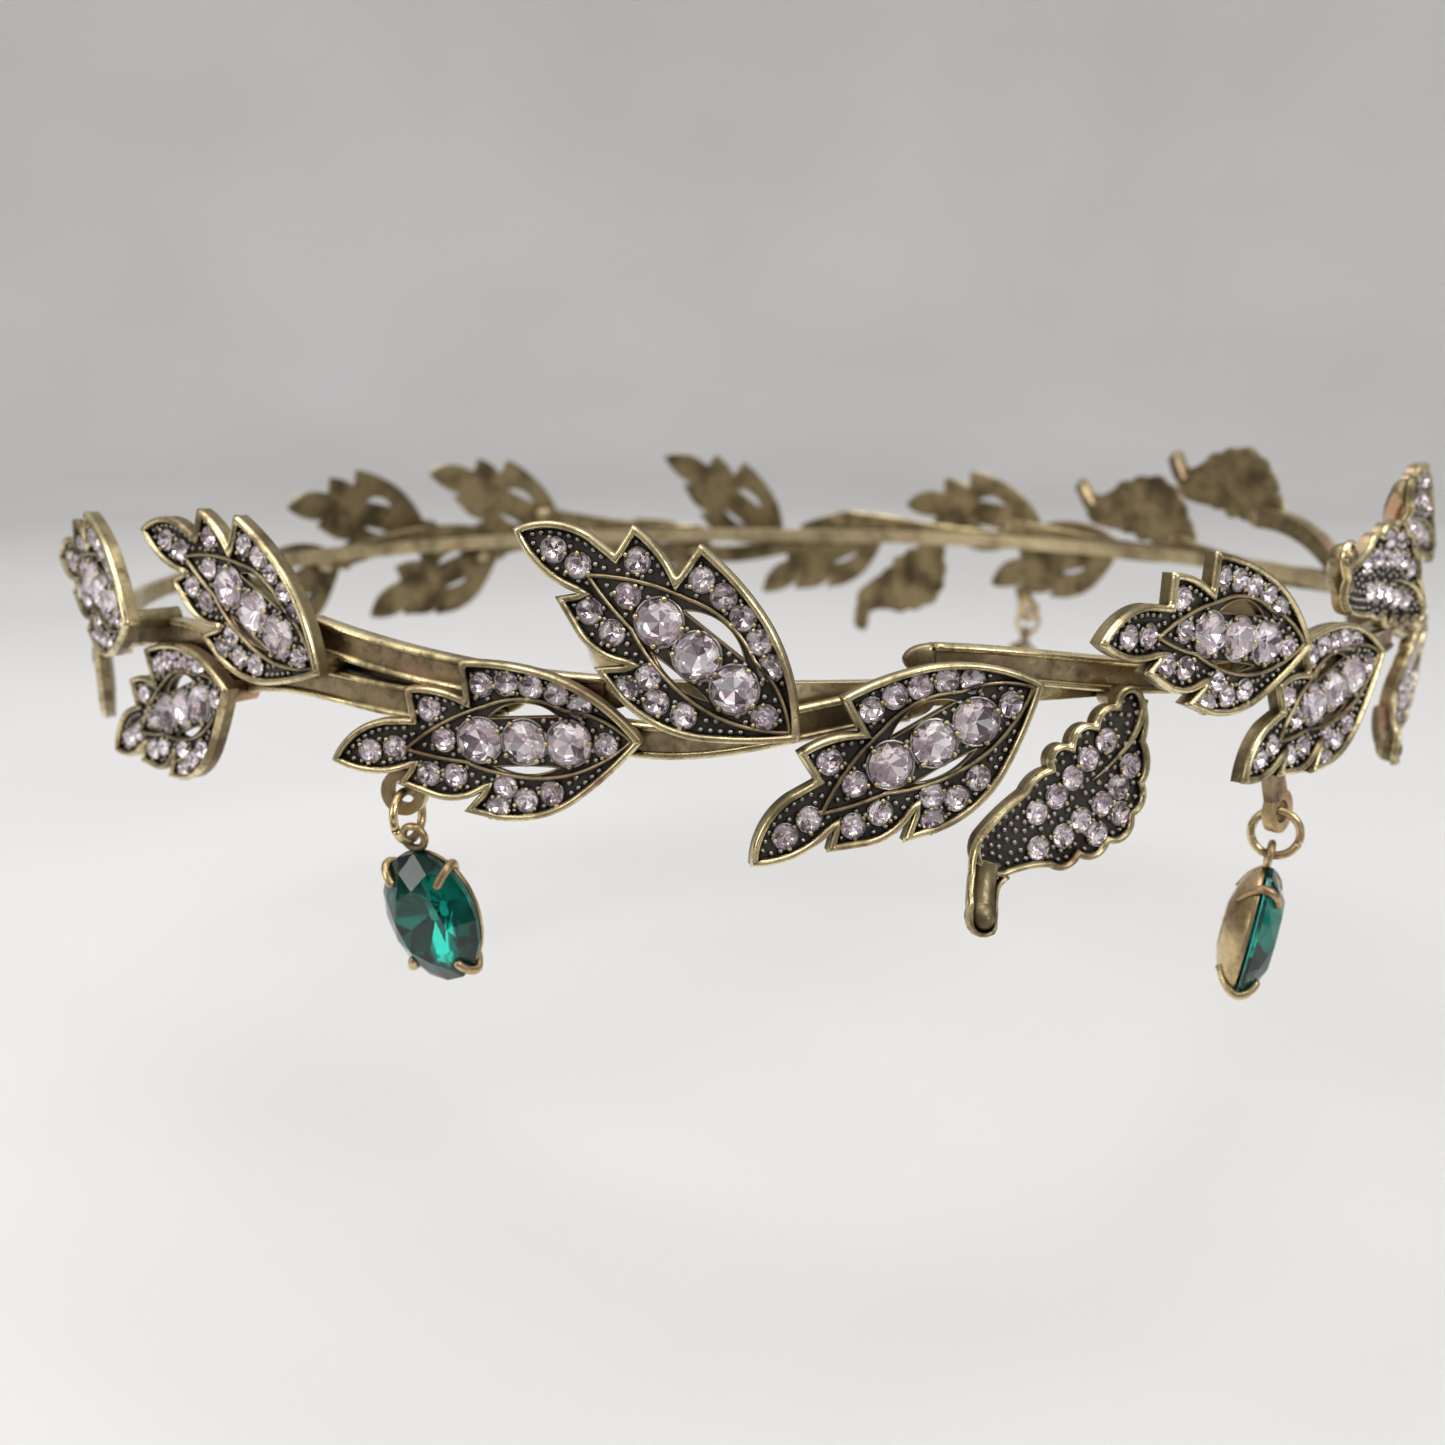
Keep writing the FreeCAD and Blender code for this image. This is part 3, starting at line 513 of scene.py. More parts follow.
def add_stone(solids, matrix, radius):
    """One rhinestone at a leaf place; its girdle sits in the seat, its crown above the floor."""
    depth = min(0.56 * radius, SEAT_ROOM)
    points, faces, kinds, tints = cut_stone(
        radius, radius, table=0.60, crown=0.42 * radius, girdle=0.10, depth=depth, culet=0.03,
        colours_and_painted_reflections=LILAC_AND_PAINTED_REFLECTIONS)
    lean = Matrix.Rotation(math.radians(rng.uniform(-STONE_LEAN, STONE_LEAN)), 4, "X")
    lean = lean @ Matrix.Rotation(math.radians(rng.uniform(-STONE_LEAN, STONE_LEAN)), 4, "Y")
    lean = lean @ Matrix.Rotation(rng.uniform(0, math.tau), 4, "Z")
    solids.add(points, faces, matrix @ np.array(lean), kinds, tints, flat=True)


def set_stones(solids, matrix, places, length, radius):
    """Rhinestones at places given as shares of a leaf's length."""
    for s, t in places:
        add_stone(solids, matrix @ at(s * length, t * length, GIRDLE), radius)


# -------------------- materials


class Nodes:
    """A short way to write a material's node tree."""

    def __init__(self, name):
        self.material = bpy.data.materials.new(name)
        self.material.use_nodes = True
        self.tree = self.material.node_tree
        self.tree.nodes.clear()
        self.out = self.node("ShaderNodeOutputMaterial")

    def node(self, kind, **settings):
        node = self.tree.nodes.new(kind)
        for key, value in settings.items():
            setattr(node, key, value)
        return node

    def link(self, source, target):
        self.tree.links.new(source, target)

    def put(self, target, value):
        if isinstance(value, bpy.types.NodeSocket):
            self.link(value, target)
        else:
            target.default_value = value

    def noise(self, scale, detail):
        place = self.node("ShaderNodeTexCoord").outputs["Object"]
        node = self.node("ShaderNodeTexNoise")
        self.link(place, node.inputs["Vector"])
        node.inputs["Scale"].default_value = scale
        node.inputs["Detail"].default_value = detail
        node.inputs["Roughness"].default_value = 0.55
        return node.outputs["Fac"]

    def ramp(self, value, low, high, start=0.0, end=1.0):
        node = self.node("ShaderNodeMapRange", clamp=True)
        sockets = ("From Min", "From Max", "To Min", "To Max")
        for key, number in zip(sockets, (low, high, start, end)):
            node.inputs[key].default_value = number
        self.link(value, node.inputs["Value"])
        return node.outputs["Result"]

    def maths(self, operation, first, second):
        node = self.node("ShaderNodeMath", operation=operation, use_clamp=True)
        self.put(node.inputs[0], first)
        self.put(node.inputs[1], second)
        return node.outputs[0]

    def mix(self, factor, first, second):
        node = self.node("ShaderNodeMix", data_type="RGBA")
        self.put(node.inputs["Factor"], factor)
        for socket, value in ((node.inputs[6], first), (node.inputs[7], second)):
            self.put(socket, value if isinstance(value, bpy.types.NodeSocket) else (*value, 1.0))
        return node.outputs[2]

    def bump(self, strength, distance, height):
        node = self.node("ShaderNodeBump")
        node.inputs["Strength"].default_value = strength
        node.inputs["Distance"].default_value = distance
        self.link(height, node.inputs["Height"])
        return node

    def shader(self, **values):
        node = self.node("ShaderNodeBsdfPrincipled")
        for key, value in values.items():
            self.put(node.inputs[key.replace("_", " ")], value)
        self.link(node.outputs[0], self.out.inputs["Surface"])
        return node


COPPER = (0.62, 0.30, 0.20)
SOOT = (0.014, 0.012, 0.013)
# Lengths that the metals' looks use, in millimetres: rounding of edges, reach of the dark wax
# out of a recess, and depth of the casting's fine grain.
EDGE_ROUNDING = 0.15
RECESS_REACH = 1.6
GRAIN_DEPTH = 0.06


def metal(name, bright, dull, rough, tarnish, cavity, copper=0.0, grain=0.2):
    """Antiqued cast metal: polished edges, tarnish in patches and dark wax in the recesses."""
    n = Nodes(name)
    bevel = n.node("ShaderNodeBevel", samples=4)
    bevel.inputs["Radius"].default_value = EDGE_ROUNDING * MM
    true_normal = n.node("ShaderNodeNewGeometry").outputs["Normal"]
    dot = n.node("ShaderNodeVectorMath", operation="DOT_PRODUCT")
    n.link(bevel.outputs[0], dot.inputs[0])
    n.link(true_normal, dot.inputs[1])
    edge = n.ramp(dot.outputs["Value"], 0.99, 0.80)
    occlusion = n.node("ShaderNodeAmbientOcclusion", samples=4)
    occlusion.inputs["Distance"].default_value = RECESS_REACH * MM
    hollow = n.ramp(occlusion.outputs["AO"], 0.80, 0.30)
    patch = n.ramp(n.noise(190, 4), 0.42, 0.66)
    fine = n.noise(1500, 3)
    stain = n.maths("MULTIPLY", n.maths("ADD", patch, n.ramp(fine, 0.5, 0.7, 0, 0.35)), tarnish)
    stain = n.maths("SUBTRACT", stain, edge)
    colour = n.mix(stain, bright, dull)
    if copper:
        blush = n.ramp(n.noise(120, 2), 0.52, 0.66, 0, copper)
        colour = n.mix(blush, colour, COPPER)
    colour = n.mix(n.maths("MULTIPLY", hollow, cavity), colour, SOOT)
    roughness = n.maths("ADD", n.ramp(fine, 0.3, 0.7, rough, rough + 0.14),
                        n.maths("MULTIPLY", stain, 0.25))
    bump = n.bump(grain, GRAIN_DEPTH * MM, n.noise(2200, 2))
    n.link(bevel.outputs[0], bump.inputs["Normal"])
    n.shader(Base_Color=colour, Metallic=1.0, Roughness=roughness, Normal=bump.outputs[0])
    return n.material


def glass(name, colour, ior):
    """Clear polished crown of a stone, with faint smears."""
    n = Nodes(name)
    smear = n.ramp(n.noise(700, 2), 0.5, 0.75, 0.0, 0.06)
    n.shader(Base_Color=(*colour, 1.0), Roughness=smear, IOR=ior, Transmission_Weight=1.0)
    return n.material


def foil_with_painted_glow(name, rough, painted_glow):
    """The mirrored back of a stone, with a painted glow; each facet's colour is partly painted
    reflection.
    """
    n = Nodes(name)
    tint = n.node("ShaderNodeAttribute", attribute_name="tint").outputs["Color"]
    worn = n.ramp(n.noise(900, 2), 0.55, 0.8, 0, 0.35)
    colour = n.mix(worn, tint, (0.35, 0.30, 0.28))
    # Painted glow: the foil gives off light in its facets' colours, though it is no lamp.
    n.shader(Base_Color=colour, Metallic=0.85, Roughness=rough, Emission_Color=tint,
             Emission_Strength=painted_glow)
    return n.material


GOLD = (0.86, 0.73, 0.42)
OLIVE = (0.17, 0.13, 0.065)
wall_metal = metal("oxidised_casting", (0.33, 0.265, 0.145), (0.11, 0.088, 0.052), rough=0.30,
                   tarnish=0.95, cavity=0.75, copper=0.25, grain=0.4)
rim_gold = metal("polished_gold_rims", GOLD, OLIVE, rough=0.14, tarnish=0.90, cavity=0.80,
                 copper=0.14)
hoop_gold = metal("hoop_gold", (0.76, 0.63, 0.38), OLIVE, rough=0.20, tarnish=0.70, cavity=0.80,
                  copper=0.12)
grain_metal = metal("oxidised_grains", (0.56, 0.525, 0.47), (0.21, 0.19, 0.16), rough=0.18,
                    tarnish=0.45, cavity=0.6)
ridge_metal = metal("oxidised_ridges", (0.52, 0.42, 0.24), (0.12, 0.095, 0.055), rough=0.22,
                    tarnish=0.95, cavity=0.8, copper=0.2)
CAST_METALS = [rim_gold, grain_metal, ridge_metal]
floor_metal = metal("oxidised_floor", (0.12, 0.105, 0.09), (0.05, 0.044, 0.038), rough=0.38,
                    tarnish=0.8, cavity=0.7, grain=0.5)
back_metal = metal("rough_cast_back", (0.33, 0.255, 0.135), (0.095, 0.072, 0.038), rough=0.36,
                   tarnish=0.95, cavity=0.7, grain=0.8)
stem_metal = metal("coppery_stem", (0.58, 0.45, 0.27), (0.15, 0.11, 0.065), rough=0.24, tarnish=0.85,
                   cavity=0.75, copper=0.60)
loop_metal = metal("worn_loop", (0.66, 0.50, 0.26), (0.20, 0.13, 0.065), rough=0.22, tarnish=0.8,
                   cavity=0.85, copper=0.30)
drop_gold = metal("bright_gold_findings", (0.82, 0.64, 0.33), (0.28, 0.19, 0.085), rough=0.15,
                  tarnish=0.70, cavity=0.80, copper=0.15)
basket_gold = metal("worn_gold_basket", (0.70, 0.54, 0.29), (0.20, 0.135, 0.07), rough=0.20,
                    tarnish=0.90, cavity=0.80, copper=0.35)
clear_glass = glass("clear_crown", (0.98, 0.95, 0.97), ior=1.50)
clear_foil_painted_glow = foil_with_painted_glow("silver_foil_painted_glow", rough=0.10, painted_glow=0.20)
CLEAR_STONES = [clear_glass, clear_foil_painted_glow], "tiara", "clear_stones"
green_glass = glass("emerald_crown", (0.08, 0.64, 0.57), ior=1.52)
green_foil_painted_glow = foil_with_painted_glow("green_foil_painted_glow", rough=0.12, painted_glow=0.02)


# -------------------- CAD castings keep their shape

WALL_KIND, FLOOR_KIND, BACK_KIND, STEM_KIND, LOOP_KIND = range(5)
STEM_OUTSIDE = 86.9
LOOP_REACH = 2.4


def face_data(mesh, field):
    values = np.zeros(len(mesh.polygons) * 3)
    mesh.polygons.foreach_get(field, values)
    return values.reshape(-1, 3)


def finish_casting(node, leaves, hole=None):
    """Finishes of a CAD casting: dark walls and floors, rough backs, coppery stems, worn loops.

    Leaves are (matrix, outline) pairs; hole is the middle of a hanging loop, in millimetres.
    """
    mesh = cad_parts[node].data
    dress(mesh, (wall_metal, floor_metal, back_metal, stem_metal, loop_metal))
    centres, normals = face_data(mesh, "center") / MM, face_data(mesh, "normal")
    radius = np.hypot(centres[:, 0], centres[:, 1])
    inwards = -(normals[:, 0] * centres[:, 0] + normals[:, 1] * centres[:, 1]) / radius
    kinds = np.full(len(centres), WALL_KIND)
    kinds[radius < STEM_OUTSIDE] = STEM_KIND
    kinds[inwards > 0.8] = BACK_KIND
    loop = np.zeros(len(centres), bool)
    if hole is not None:
        loop = np.linalg.norm(centres - hole, axis=1) < LOOP_REACH
    for matrix, outline in leaves:
        local = (np.c_[centres, np.ones(len(centres))] @ np.linalg.inv(matrix).T)[:, :3]
        facing = normals @ matrix[:3, 2]
        over = inside(local[:, :2], outline) & (local[:, 2] < LEAF_TOP + 0.1) & (local[:, 2] > -0.1)
        kinds[over & (local[:, 2] < FLOOR + 0.03) & (local[:, 2] > 0.1) & (facing > 0.9)] = FLOOR_KIND
        loop &= ~over
    kinds[loop] = LOOP_KIND
    mesh.polygons.foreach_set("material_index", kinds)


# -------------------- leaf detail, in leaf frames

def clear_of(points, shapes):
    """Points far enough from every (path, gap)."""
    keep = np.ones(len(points), bool)
    for path, gap in shapes:
        keep &= nearest(points, path) > gap
    return points[keep]


# Grains: their radius and spacing, the rows that follow the rim, and their gaps to the leaf's
# outline, ridges, windows and stones.
GRAIN_RADIUS = 0.29
GRAIN_SPACING = 0.85
GRAIN_ROWS = 9
FIRST_ROW = 0.90
OUTLINE_GAP = 0.84
RIDGE_GAP = 0.44
WINDOW_GAP = 0.30
STONE_GAP = 0.24


def grain_places(outline, stones, ridges, windows):
    """Grains fill the floor in rows that follow the rim, clear of stones, ridges and windows."""
    inward = 1 if signed_area(outline) > 0 else -1
    steps = [FIRST_ROW + GRAIN_SPACING * k for k in range(GRAIN_ROWS)]
    rows = [outline + inward * path_normals(outline) * step for step in steps]
    candidates = np.concatenate(rows)
    candidates = candidates[inside(candidates, outline)]
    gaps = [(outline, OUTLINE_GAP)]
    gaps += [(ridge, RIDGE_GAP) for ridge in ridges]
    gaps += [(window, WINDOW_GAP) for window in windows]
    candidates = clear_of(candidates, gaps)
    for window in windows:
        candidates = candidates[~inside(candidates, window)]
    for x, y, radius in stones:
        distance = np.hypot(candidates[:, 0] - x, candidates[:, 1] - y)
        candidates = candidates[distance > radius + STONE_GAP]
    kept = []
    for x, y in candidates:
        if all((x - p) ** 2 + (y - q) ** 2 > (0.93 * GRAIN_SPACING) ** 2 for p, q in kept):
            kept.append((x, y))
    return kept


# Claws round the stones: their radius; and the collars: wall, rise above the girdle, sides.
LARGE_CLAW = 0.30
SMALL_CLAW = 0.24
LARGE_COLLAR = (0.26, 0.14, 20)
SMALL_COLLAR = (0.16, 0.10, 14)
# How deep an added detail is rooted in the casting, so that no gap shows under it.
ROOT = 0.1


def prong_places(stones, outline):
    """Small claws round every stone, where there is metal to carry them."""
    places = []
    for x, y, radius in stones:
        large = radius == LARGE_RADIUS
        count = 4 if large else 3
        first = rng.uniform(0, math.tau)
        for k in range(count):
            turn = first + math.tau * k / count
            reach = radius + 0.05
            spot_x, spot_y = x + reach * math.cos(turn), y + reach * math.sin(turn)
            taken = any(math.hypot(spot_x - u, spot_y - v) < other - 0.12
                        for u, v, other in stones if (u, v) != (x, y))
            if not taken and inside(np.array([[spot_x, spot_y]]), outline)[0]:
                places.append((spot_x, spot_y, LARGE_CLAW if large else SMALL_CLAW))
    return places


RIM, GRAIN, RIDGE = 0, 1, 2
# Sections of the cast bars: half widths, or offsets from the line, and rises of the crests above
# the leaf's top or floor.
RIM_OFFSETS, RIM_RISE = (-0.07, 0.60), 0.42
RIDGE_HALF, RIDGE_RISE = 0.22, 0.15
WINDOW_OFFSETS, WINDOW_RISE = (-0.16, 0.06), 0.16
VEIN_HALF, VEIN_RISE, VEIN_END = 0.42, 0.55, 0.25
SPOUT_HALF, SPOUT_LIFT = 0.26, 0.95
STEM_EDGE_HALF = 0.42
# The spout: where it leaves the leaf, its heading, and the arc in which it bends outwards.
SPOUT_FROM = 0.965 * CURL_LENGTH
SPOUT_HEADING = math.radians(29.0)
SPOUT_BEND_RADIUS = 9.0
SPOUT_REACH = SPOUT_BEND_RADIUS * math.sin(math.radians(32.0))


def spout_rise(points):
    """How far the curled end has bent outwards at these places."""
    reach = np.clip((points[:, 0] - SPOUT_FROM) / math.cos(SPOUT_HEADING), 0, SPOUT_REACH)
    return SPOUT_BEND_RADIUS - np.sqrt(SPOUT_BEND_RADIUS ** 2 - reach ** 2)


def leaf_detail(outline, windows, ridges, stones, vein=None, spout=None):
    """Everything cast on one leaf, as (points, faces, kind) lists in the leaf's frame."""
    parts = []
    inward = 1 if signed_area(outline) > 0 else -1

    def cast(shape, kind, place=(0, 0, 0)):
        parts.append((shape[0] + np.array(place), shape[1], kind))

    edge = half_round(*RIM_OFFSETS, LEAF_TOP - 2 * ROOT, LEAF_TOP + RIM_RISE)
    edge = [(inward * offset, height) for offset, height in edge]
    cast(swept(outline, edge[::-1] if inward > 0 else edge), RIM)
    for ridge in ridges:
        section = half_round(-RIDGE_HALF, RIDGE_HALF, FLOOR - ROOT, LEAF_TOP + RIDGE_RISE, 5)
        cast(swept(ridge, section[::-1]), RIDGE)
    for window in windows:
        section = half_round(*WINDOW_OFFSETS, FLOOR - ROOT, FLOOR + WINDOW_RISE, 4)
        cast(swept(window, section[::-1]), RIDGE)
    if spout is not None:
        section = half_round(-SPOUT_HALF, SPOUT_HALF, -0.5, 0.32)
        points, faces = swept(spout, section[::-1], closed=False)
        points[:, 2] += LEAF_TOP / 2 + SPOUT_LIFT + spout_rise(points)
        cast((points, faces), RIM)
    if vein is not None:
        section = half_round(-VEIN_HALF, VEIN_HALF, FLOOR - ROOT, LEAF_TOP + VEIN_RISE)
        taper = np.linspace(1.0, VEIN_END, len(vein))
        cast(swept(vein, section[::-1], closed=False, taper=taper), RIM)
    for x, y, radius in stones:
        wall, rise, sides = LARGE_COLLAR if radius == LARGE_RADIUS else SMALL_COLLAR
        collar = bezel(radius + 0.02, radius + wall, FLOOR - ROOT, GIRDLE + rise, sides)
        cast(collar, GRAIN, (x, y, 0))
    for x, y, radius in prong_places(stones, outline):
        cast(bead(radius, 7), RIM, (x, y, GIRDLE + 0.16 + 0.3 * radius))
    grain = bead(GRAIN_RADIUS, 6)
    for x, y in grain_places(outline, stones, ridges, windows):
        cast(grain, GRAIN, (x, y, FLOOR + 0.04 + rng.uniform(-0.03, 0.05)))
    return parts


def stone_list(small, large, length):
    places = [(s * length, t * length, SMALL_RADIUS) for s, t in small]
    return places + [(s * length, t * length, LARGE_RADIUS) for s, t in large]


large_windows = []
for window in LARGE_WINDOWS:
    large_windows.append(outline_path([window[1:3], [window[3], window[0]]], LEAF_LENGTH))
LARGE_PATH = outline_path(LARGE_OUTLINE, LEAF_LENGTH)
CURLED_PATH = outline_path(CURLED_OUTLINE, CURL_LENGTH)
DROP_LEAF_PATH = outline_path(DROP_LEAF_OUTLINE, DROP_LEAF_LENGTH)
PATTERNS = {
    "large": leaf_detail(LARGE_PATH, large_windows, [outline_path(ALMOND, LEAF_LENGTH)],
                         stone_list(SMALL_STONES, LARGE_STONES, LEAF_LENGTH)),
    "curled": leaf_detail(CURLED_PATH, [], [], stone_list(CURLED_STONES, [], CURL_LENGTH),
                          outline_path(CURLED_VEIN, CURL_LENGTH, start=(0.0, -0.020)),
                          outline_path(SPOUT_EDGE, CURL_LENGTH, start=(0.900, 0.158))),
    "drop": leaf_detail(DROP_LEAF_PATH, [], [],
                        stone_list(DROP_LEAF_STONES, DROP_LEAF_LARGE_STONES, DROP_LEAF_LENGTH)),
}


def node_points(node):
    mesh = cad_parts[node].data
    points = np.zeros(len(mesh.vertices) * 3)
    mesh.vertices.foreach_get("co", points)
    return points.reshape(-1, 3) / MM


def ring_frame(node):
    """A jump ring's frame from its CAD mesh: centre, and its axis as the x direction."""
    points = node_points(node)
    centre = (points.max(0) + points.min(0)) / 2
    spread = np.cov((points - centre).T)
    axis = np.linalg.eigh(spread)[1][:, 0]
    up = np.array([0.0, 0.0, 1.0])
    up = up - axis * (up @ axis)
    up /= np.linalg.norm(up)
    head = np.array([-centre[0], -centre[1], 0.0])
    inwards = np.cross(up, axis)
    if inwards @ head < 0:
        axis, inwards = -axis, -inwards
    return axes_matrix(centre, axis, inwards, up)


def loop_hole(name):
    """The middle of the cast loop that a jump ring hangs from."""
    matrix = ring_frame("jump_ring_" + name)
    return matrix[:3, 3] + matrix[:3, 2] * RING_RADIUS


def leaf_frame(leaf):
    if leaf in CURLED_LEAVES:
        turn = np.diag([1.0, -1.0, 1.0, 1.0]) if leaf in TURNS_UP else np.eye(4)
        return leaf_matrix(CURLED_LEAVES[leaf]) @ turn
    return leaf_matrix(LEAVES[leaf])


def stem_line(run):
    """The middle line of a stem run, as (length along the hoop, height)."""
    angles = np.array([point[0] for point in run])
    heights = np.array([point[1] for point in run])
    order = np.argsort(angles)
    fine = np.linspace(angles.min(), angles.max(), 40)
    curve = np.polyfit(angles[order] - angles.mean(), heights[order], 3)
    middle = np.polyval(curve, fine - angles.mean())
    return np.stack([np.radians(fine) * STEM_RADIUS, middle], 1)


def wrapped(points):
    """Points given as (length along the hoop, height, distance outwards), in the row frame."""
    turn = points[:, 0] / STEM_RADIUS
    radius = STEM_RADIUS + points[:, 2]
    return np.stack([radius * np.sin(turn), -radius * np.cos(turn), points[:, 1]], 1)


def stem_detail(solids, run, side):
    """Raised gold edges along one stem run, and a rounded bud at each end."""
    flat = stem_line(run)
    section = half_round(-STEM_EDGE_HALF, STEM_EDGE_HALF, -0.6, STEM_EDGE_HALF)[::-1]
    for edge in (-1, 1):
        shifted = flat + path_normals(flat, False) * edge * (STEM_WIDTH / 2 - 0.25)
        points, faces = swept(shifted, section, closed=False)
        solids.add(wrapped(points), faces, side, RIM)
    stem_tip(solids, flat[0], flat[1], side)
    stem_tip(solids, flat[-1], flat[-2], side)


# A bud: its length past the stem's end, its meshing, and how far it stands proud of the stem.
TIP_LENGTH = 2.8
TIP_SIDES = 16
TIP_ROWS = 8
TIP_PROUD = 0.03
STEM_DEPTH = 1.6


def squared(share, half):
    """A place on a rounded square's side, from the cosine or sine of its angle."""
    return math.copysign(abs(share) ** 0.5, share) * half


def stem_tip(solids, here, before, side):
    """A rounded bud that carries a stem run on past its square end."""
    ahead = (here - before) / np.linalg.norm(here - before)
    across = np.array([-ahead[1], ahead[0]])
    points = []
    for row in range(TIP_ROWS):
        turn = math.pi / 2 * row / (TIP_ROWS - 1)
        share = max(0.06, math.cos(turn))
        centre = here + ahead * (TIP_LENGTH * math.sin(turn) - ROOT)
        half_width = (STEM_WIDTH / 2 + TIP_PROUD) * share
        half_depth = (STEM_DEPTH / 2 + TIP_PROUD) * (0.3 + 0.7 * share)
        for k in range(TIP_SIDES):
            angle = math.tau * k / TIP_SIDES
            spot = centre + across * squared(math.cos(angle), half_width)
            outwards = squared(math.sin(angle), half_depth)
            points.append((spot[0], spot[1], outwards - STEM_DEPTH / 2))
    solids.add(wrapped(np.array(points)), skin(TIP_ROWS, TIP_SIDES), side, RIDGE)


for sprig, leaves in SPRIGS.items():
    for side_name, side in SIDES.items():
        detail, small, large = Solids(), Solids(), Solids()
        matrices = [side @ leaf_frame(leaf) for leaf in leaves]
        for leaf, matrix in zip(leaves, matrices):
            curled = leaf in CURLED_LEAVES
            for points, faces, kind in PATTERNS["curled" if curled else "large"]:
                detail.add(points, faces, matrix, kind)
            if curled:
                set_stones(small, matrix, CURLED_STONES, CURL_LENGTH, SMALL_RADIUS)
            else:
                set_stones(small, matrix, SMALL_STONES, LEAF_LENGTH, SMALL_RADIUS)
                set_stones(large, matrix, LARGE_STONES, LEAF_LENGTH, LARGE_RADIUS)
        for run in STEMS[sprig]:
            stem_detail(detail, run, side)
        name = "%s_%s" % (sprig, side_name)
        outlines = [CURLED_PATH if leaf in CURLED_LEAVES else LARGE_PATH for leaf in leaves]
        hangs = "jump_ring_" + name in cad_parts
        hole = loop_hole(name) if hangs else None
        finish_casting("sprig_" + name, list(zip(matrices, outlines)), hole)
        detail.make("cast_detail_" + name, CAST_METALS, "tiara", "castings")
        small.stand_in("small_stones_" + name, "rhinestones_small_" + name, *CLEAR_STONES)
        if large.count:
            large.stand_in("large_stones_" + name, "rhinestones_large_" + name, *CLEAR_STONES)

detail = Solids()
for points, faces, kind in PATTERNS["drop"]:
    detail.add(points, faces, DROP_LEAF_MATRIX, kind)
finish_casting("front_drop_leaf", [(DROP_LEAF_MATRIX, DROP_LEAF_PATH)], loop_hole("front"))
detail.make("cast_detail_drop_leaf", CAST_METALS, "tiara", "castings")
for kind, places, radius in (("small", DROP_LEAF_STONES, SMALL_RADIUS),
                             ("large", DROP_LEAF_LARGE_STONES, LARGE_RADIUS)):
    group = Solids()
    set_stones(group, DROP_LEAF_MATRIX, places, DROP_LEAF_LENGTH, radius)
    group.stand_in("%s_stones_drop_leaf" % kind, "rhinestones_%s_drop_leaf" % kind, *CLEAR_STONES)


dress(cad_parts["hoop_band"].data, [hoop_gold])

# -------------------- drops

LOOP_RADIUS = 1.15
LOOP_WIRE = 0.38
CUP_WALL = 0.45
HALF_WIDTH = 5.0
HALF_HEIGHT = 7.0
GIRDLE_FORWARD = 0.25
LOOP_SINK = 0.7
TILTS = {"front": 30.0, "brow": 10.0, "side": 13.0}


def tilted(matrix, degrees):
    turn = math.radians(degrees)
    c, s = math.cos(turn), math.sin(turn)
    return matrix @ np.array([[1, 0, 0, 0], [0, c, -s, 0], [0, s, c, 0], [0, 0, 0, 1]], float)


oval_drop = -(RING_RADIUS + LOOP_RADIUS + LOOP_WIRE + CUP_WALL + HALF_HEIGHT - LOOP_SINK)
# In the drop's frame the stone's x runs along the hoop, its y up and its z away from the head.
OVAL_FRAME = axes_matrix((0, -GIRDLE_FORWARD, oval_drop), (1, 0, 0), (0, 0, 1), (0, -1, 0))


def tube(path, radii, closed=False, sides=10):
    """A round bar through points in space, with a radius at each; open ends are domed."""
    path = np.asarray(path, float)
    if closed:
        tangents = np.roll(path, -1, 0) - np.roll(path, 1, 0)
    else:
        tangents = np.gradient(path, axis=0)
    tangents /= np.linalg.norm(tangents, axis=1)[:, None]
    normal = np.cross(tangents[0], (0.0, 0.0, 1.0))
    if np.linalg.norm(normal) < 0.1:
        normal = np.cross(tangents[0], (1.0, 0.0, 0.0))
    points = []
    for centre, tangent, radius in zip(path, tangents, radii):
        normal = normal - tangent * (normal @ tangent)
        normal /= np.linalg.norm(normal)
        side = np.cross(tangent, normal)
        for k in range(sides):
            turn = math.tau * k / sides
            points.append(centre + radius * (normal * math.cos(turn) + side * math.sin(turn)))
    return np.array(points), skin(len(path), sides, closed)


def domed(path, radius):
    """A bar's path and radii, extended so that its last end rounds off like a ball."""
    path = [np.array(point, float) for point in path]
    radii = [radius] * len(path)
    end = path[-1]
    ahead = (end - path[-2]) / np.linalg.norm(end - path[-2])
    for k in range(1, 6):
        turn = math.pi / 2 * k / 5
        path.append(end + ahead * radius * math.sin(turn))
        radii.append(radius * max(0.05, math.cos(turn)))
    return path, radii


def oval_wall(section, sides):
    """A closed wall round an oval: its section is (share of the half sizes, added width, height)."""
    points = []
    for k in range(sides):
        turn = math.tau * k / sides
        across, up = math.cos(turn), math.sin(turn)
        for share, extra, height in section:
            points.append(((HALF_WIDTH * share + extra) * across,
                           (HALF_HEIGHT * share + extra) * up, height))
    faces = [(a, d, c, b) for a, b, c, d in skin(sides, len(section), closed=True)]
    return np.array(points), faces


# The basket's wall, from its upper lip down outside to the back rail and up again inside.
BASKET = [(0.97, 0.0, -0.25), (0.985, 0.05, -0.35), (0.96, 0.06, -0.75), (0.89, 0.06, -1.25),
          (0.78, 0.06, -1.75), (0.64, 0.06, -2.20), (0.48, 0.08, -2.55), (0.38, 0.10, -2.68),
          (0.36, 0.0, -2.76), (0.35, -0.25, -2.55), (0.58, -0.25, -2.05), (0.80, -0.25, -1.30),
          (0.93, -0.20, -0.65)]
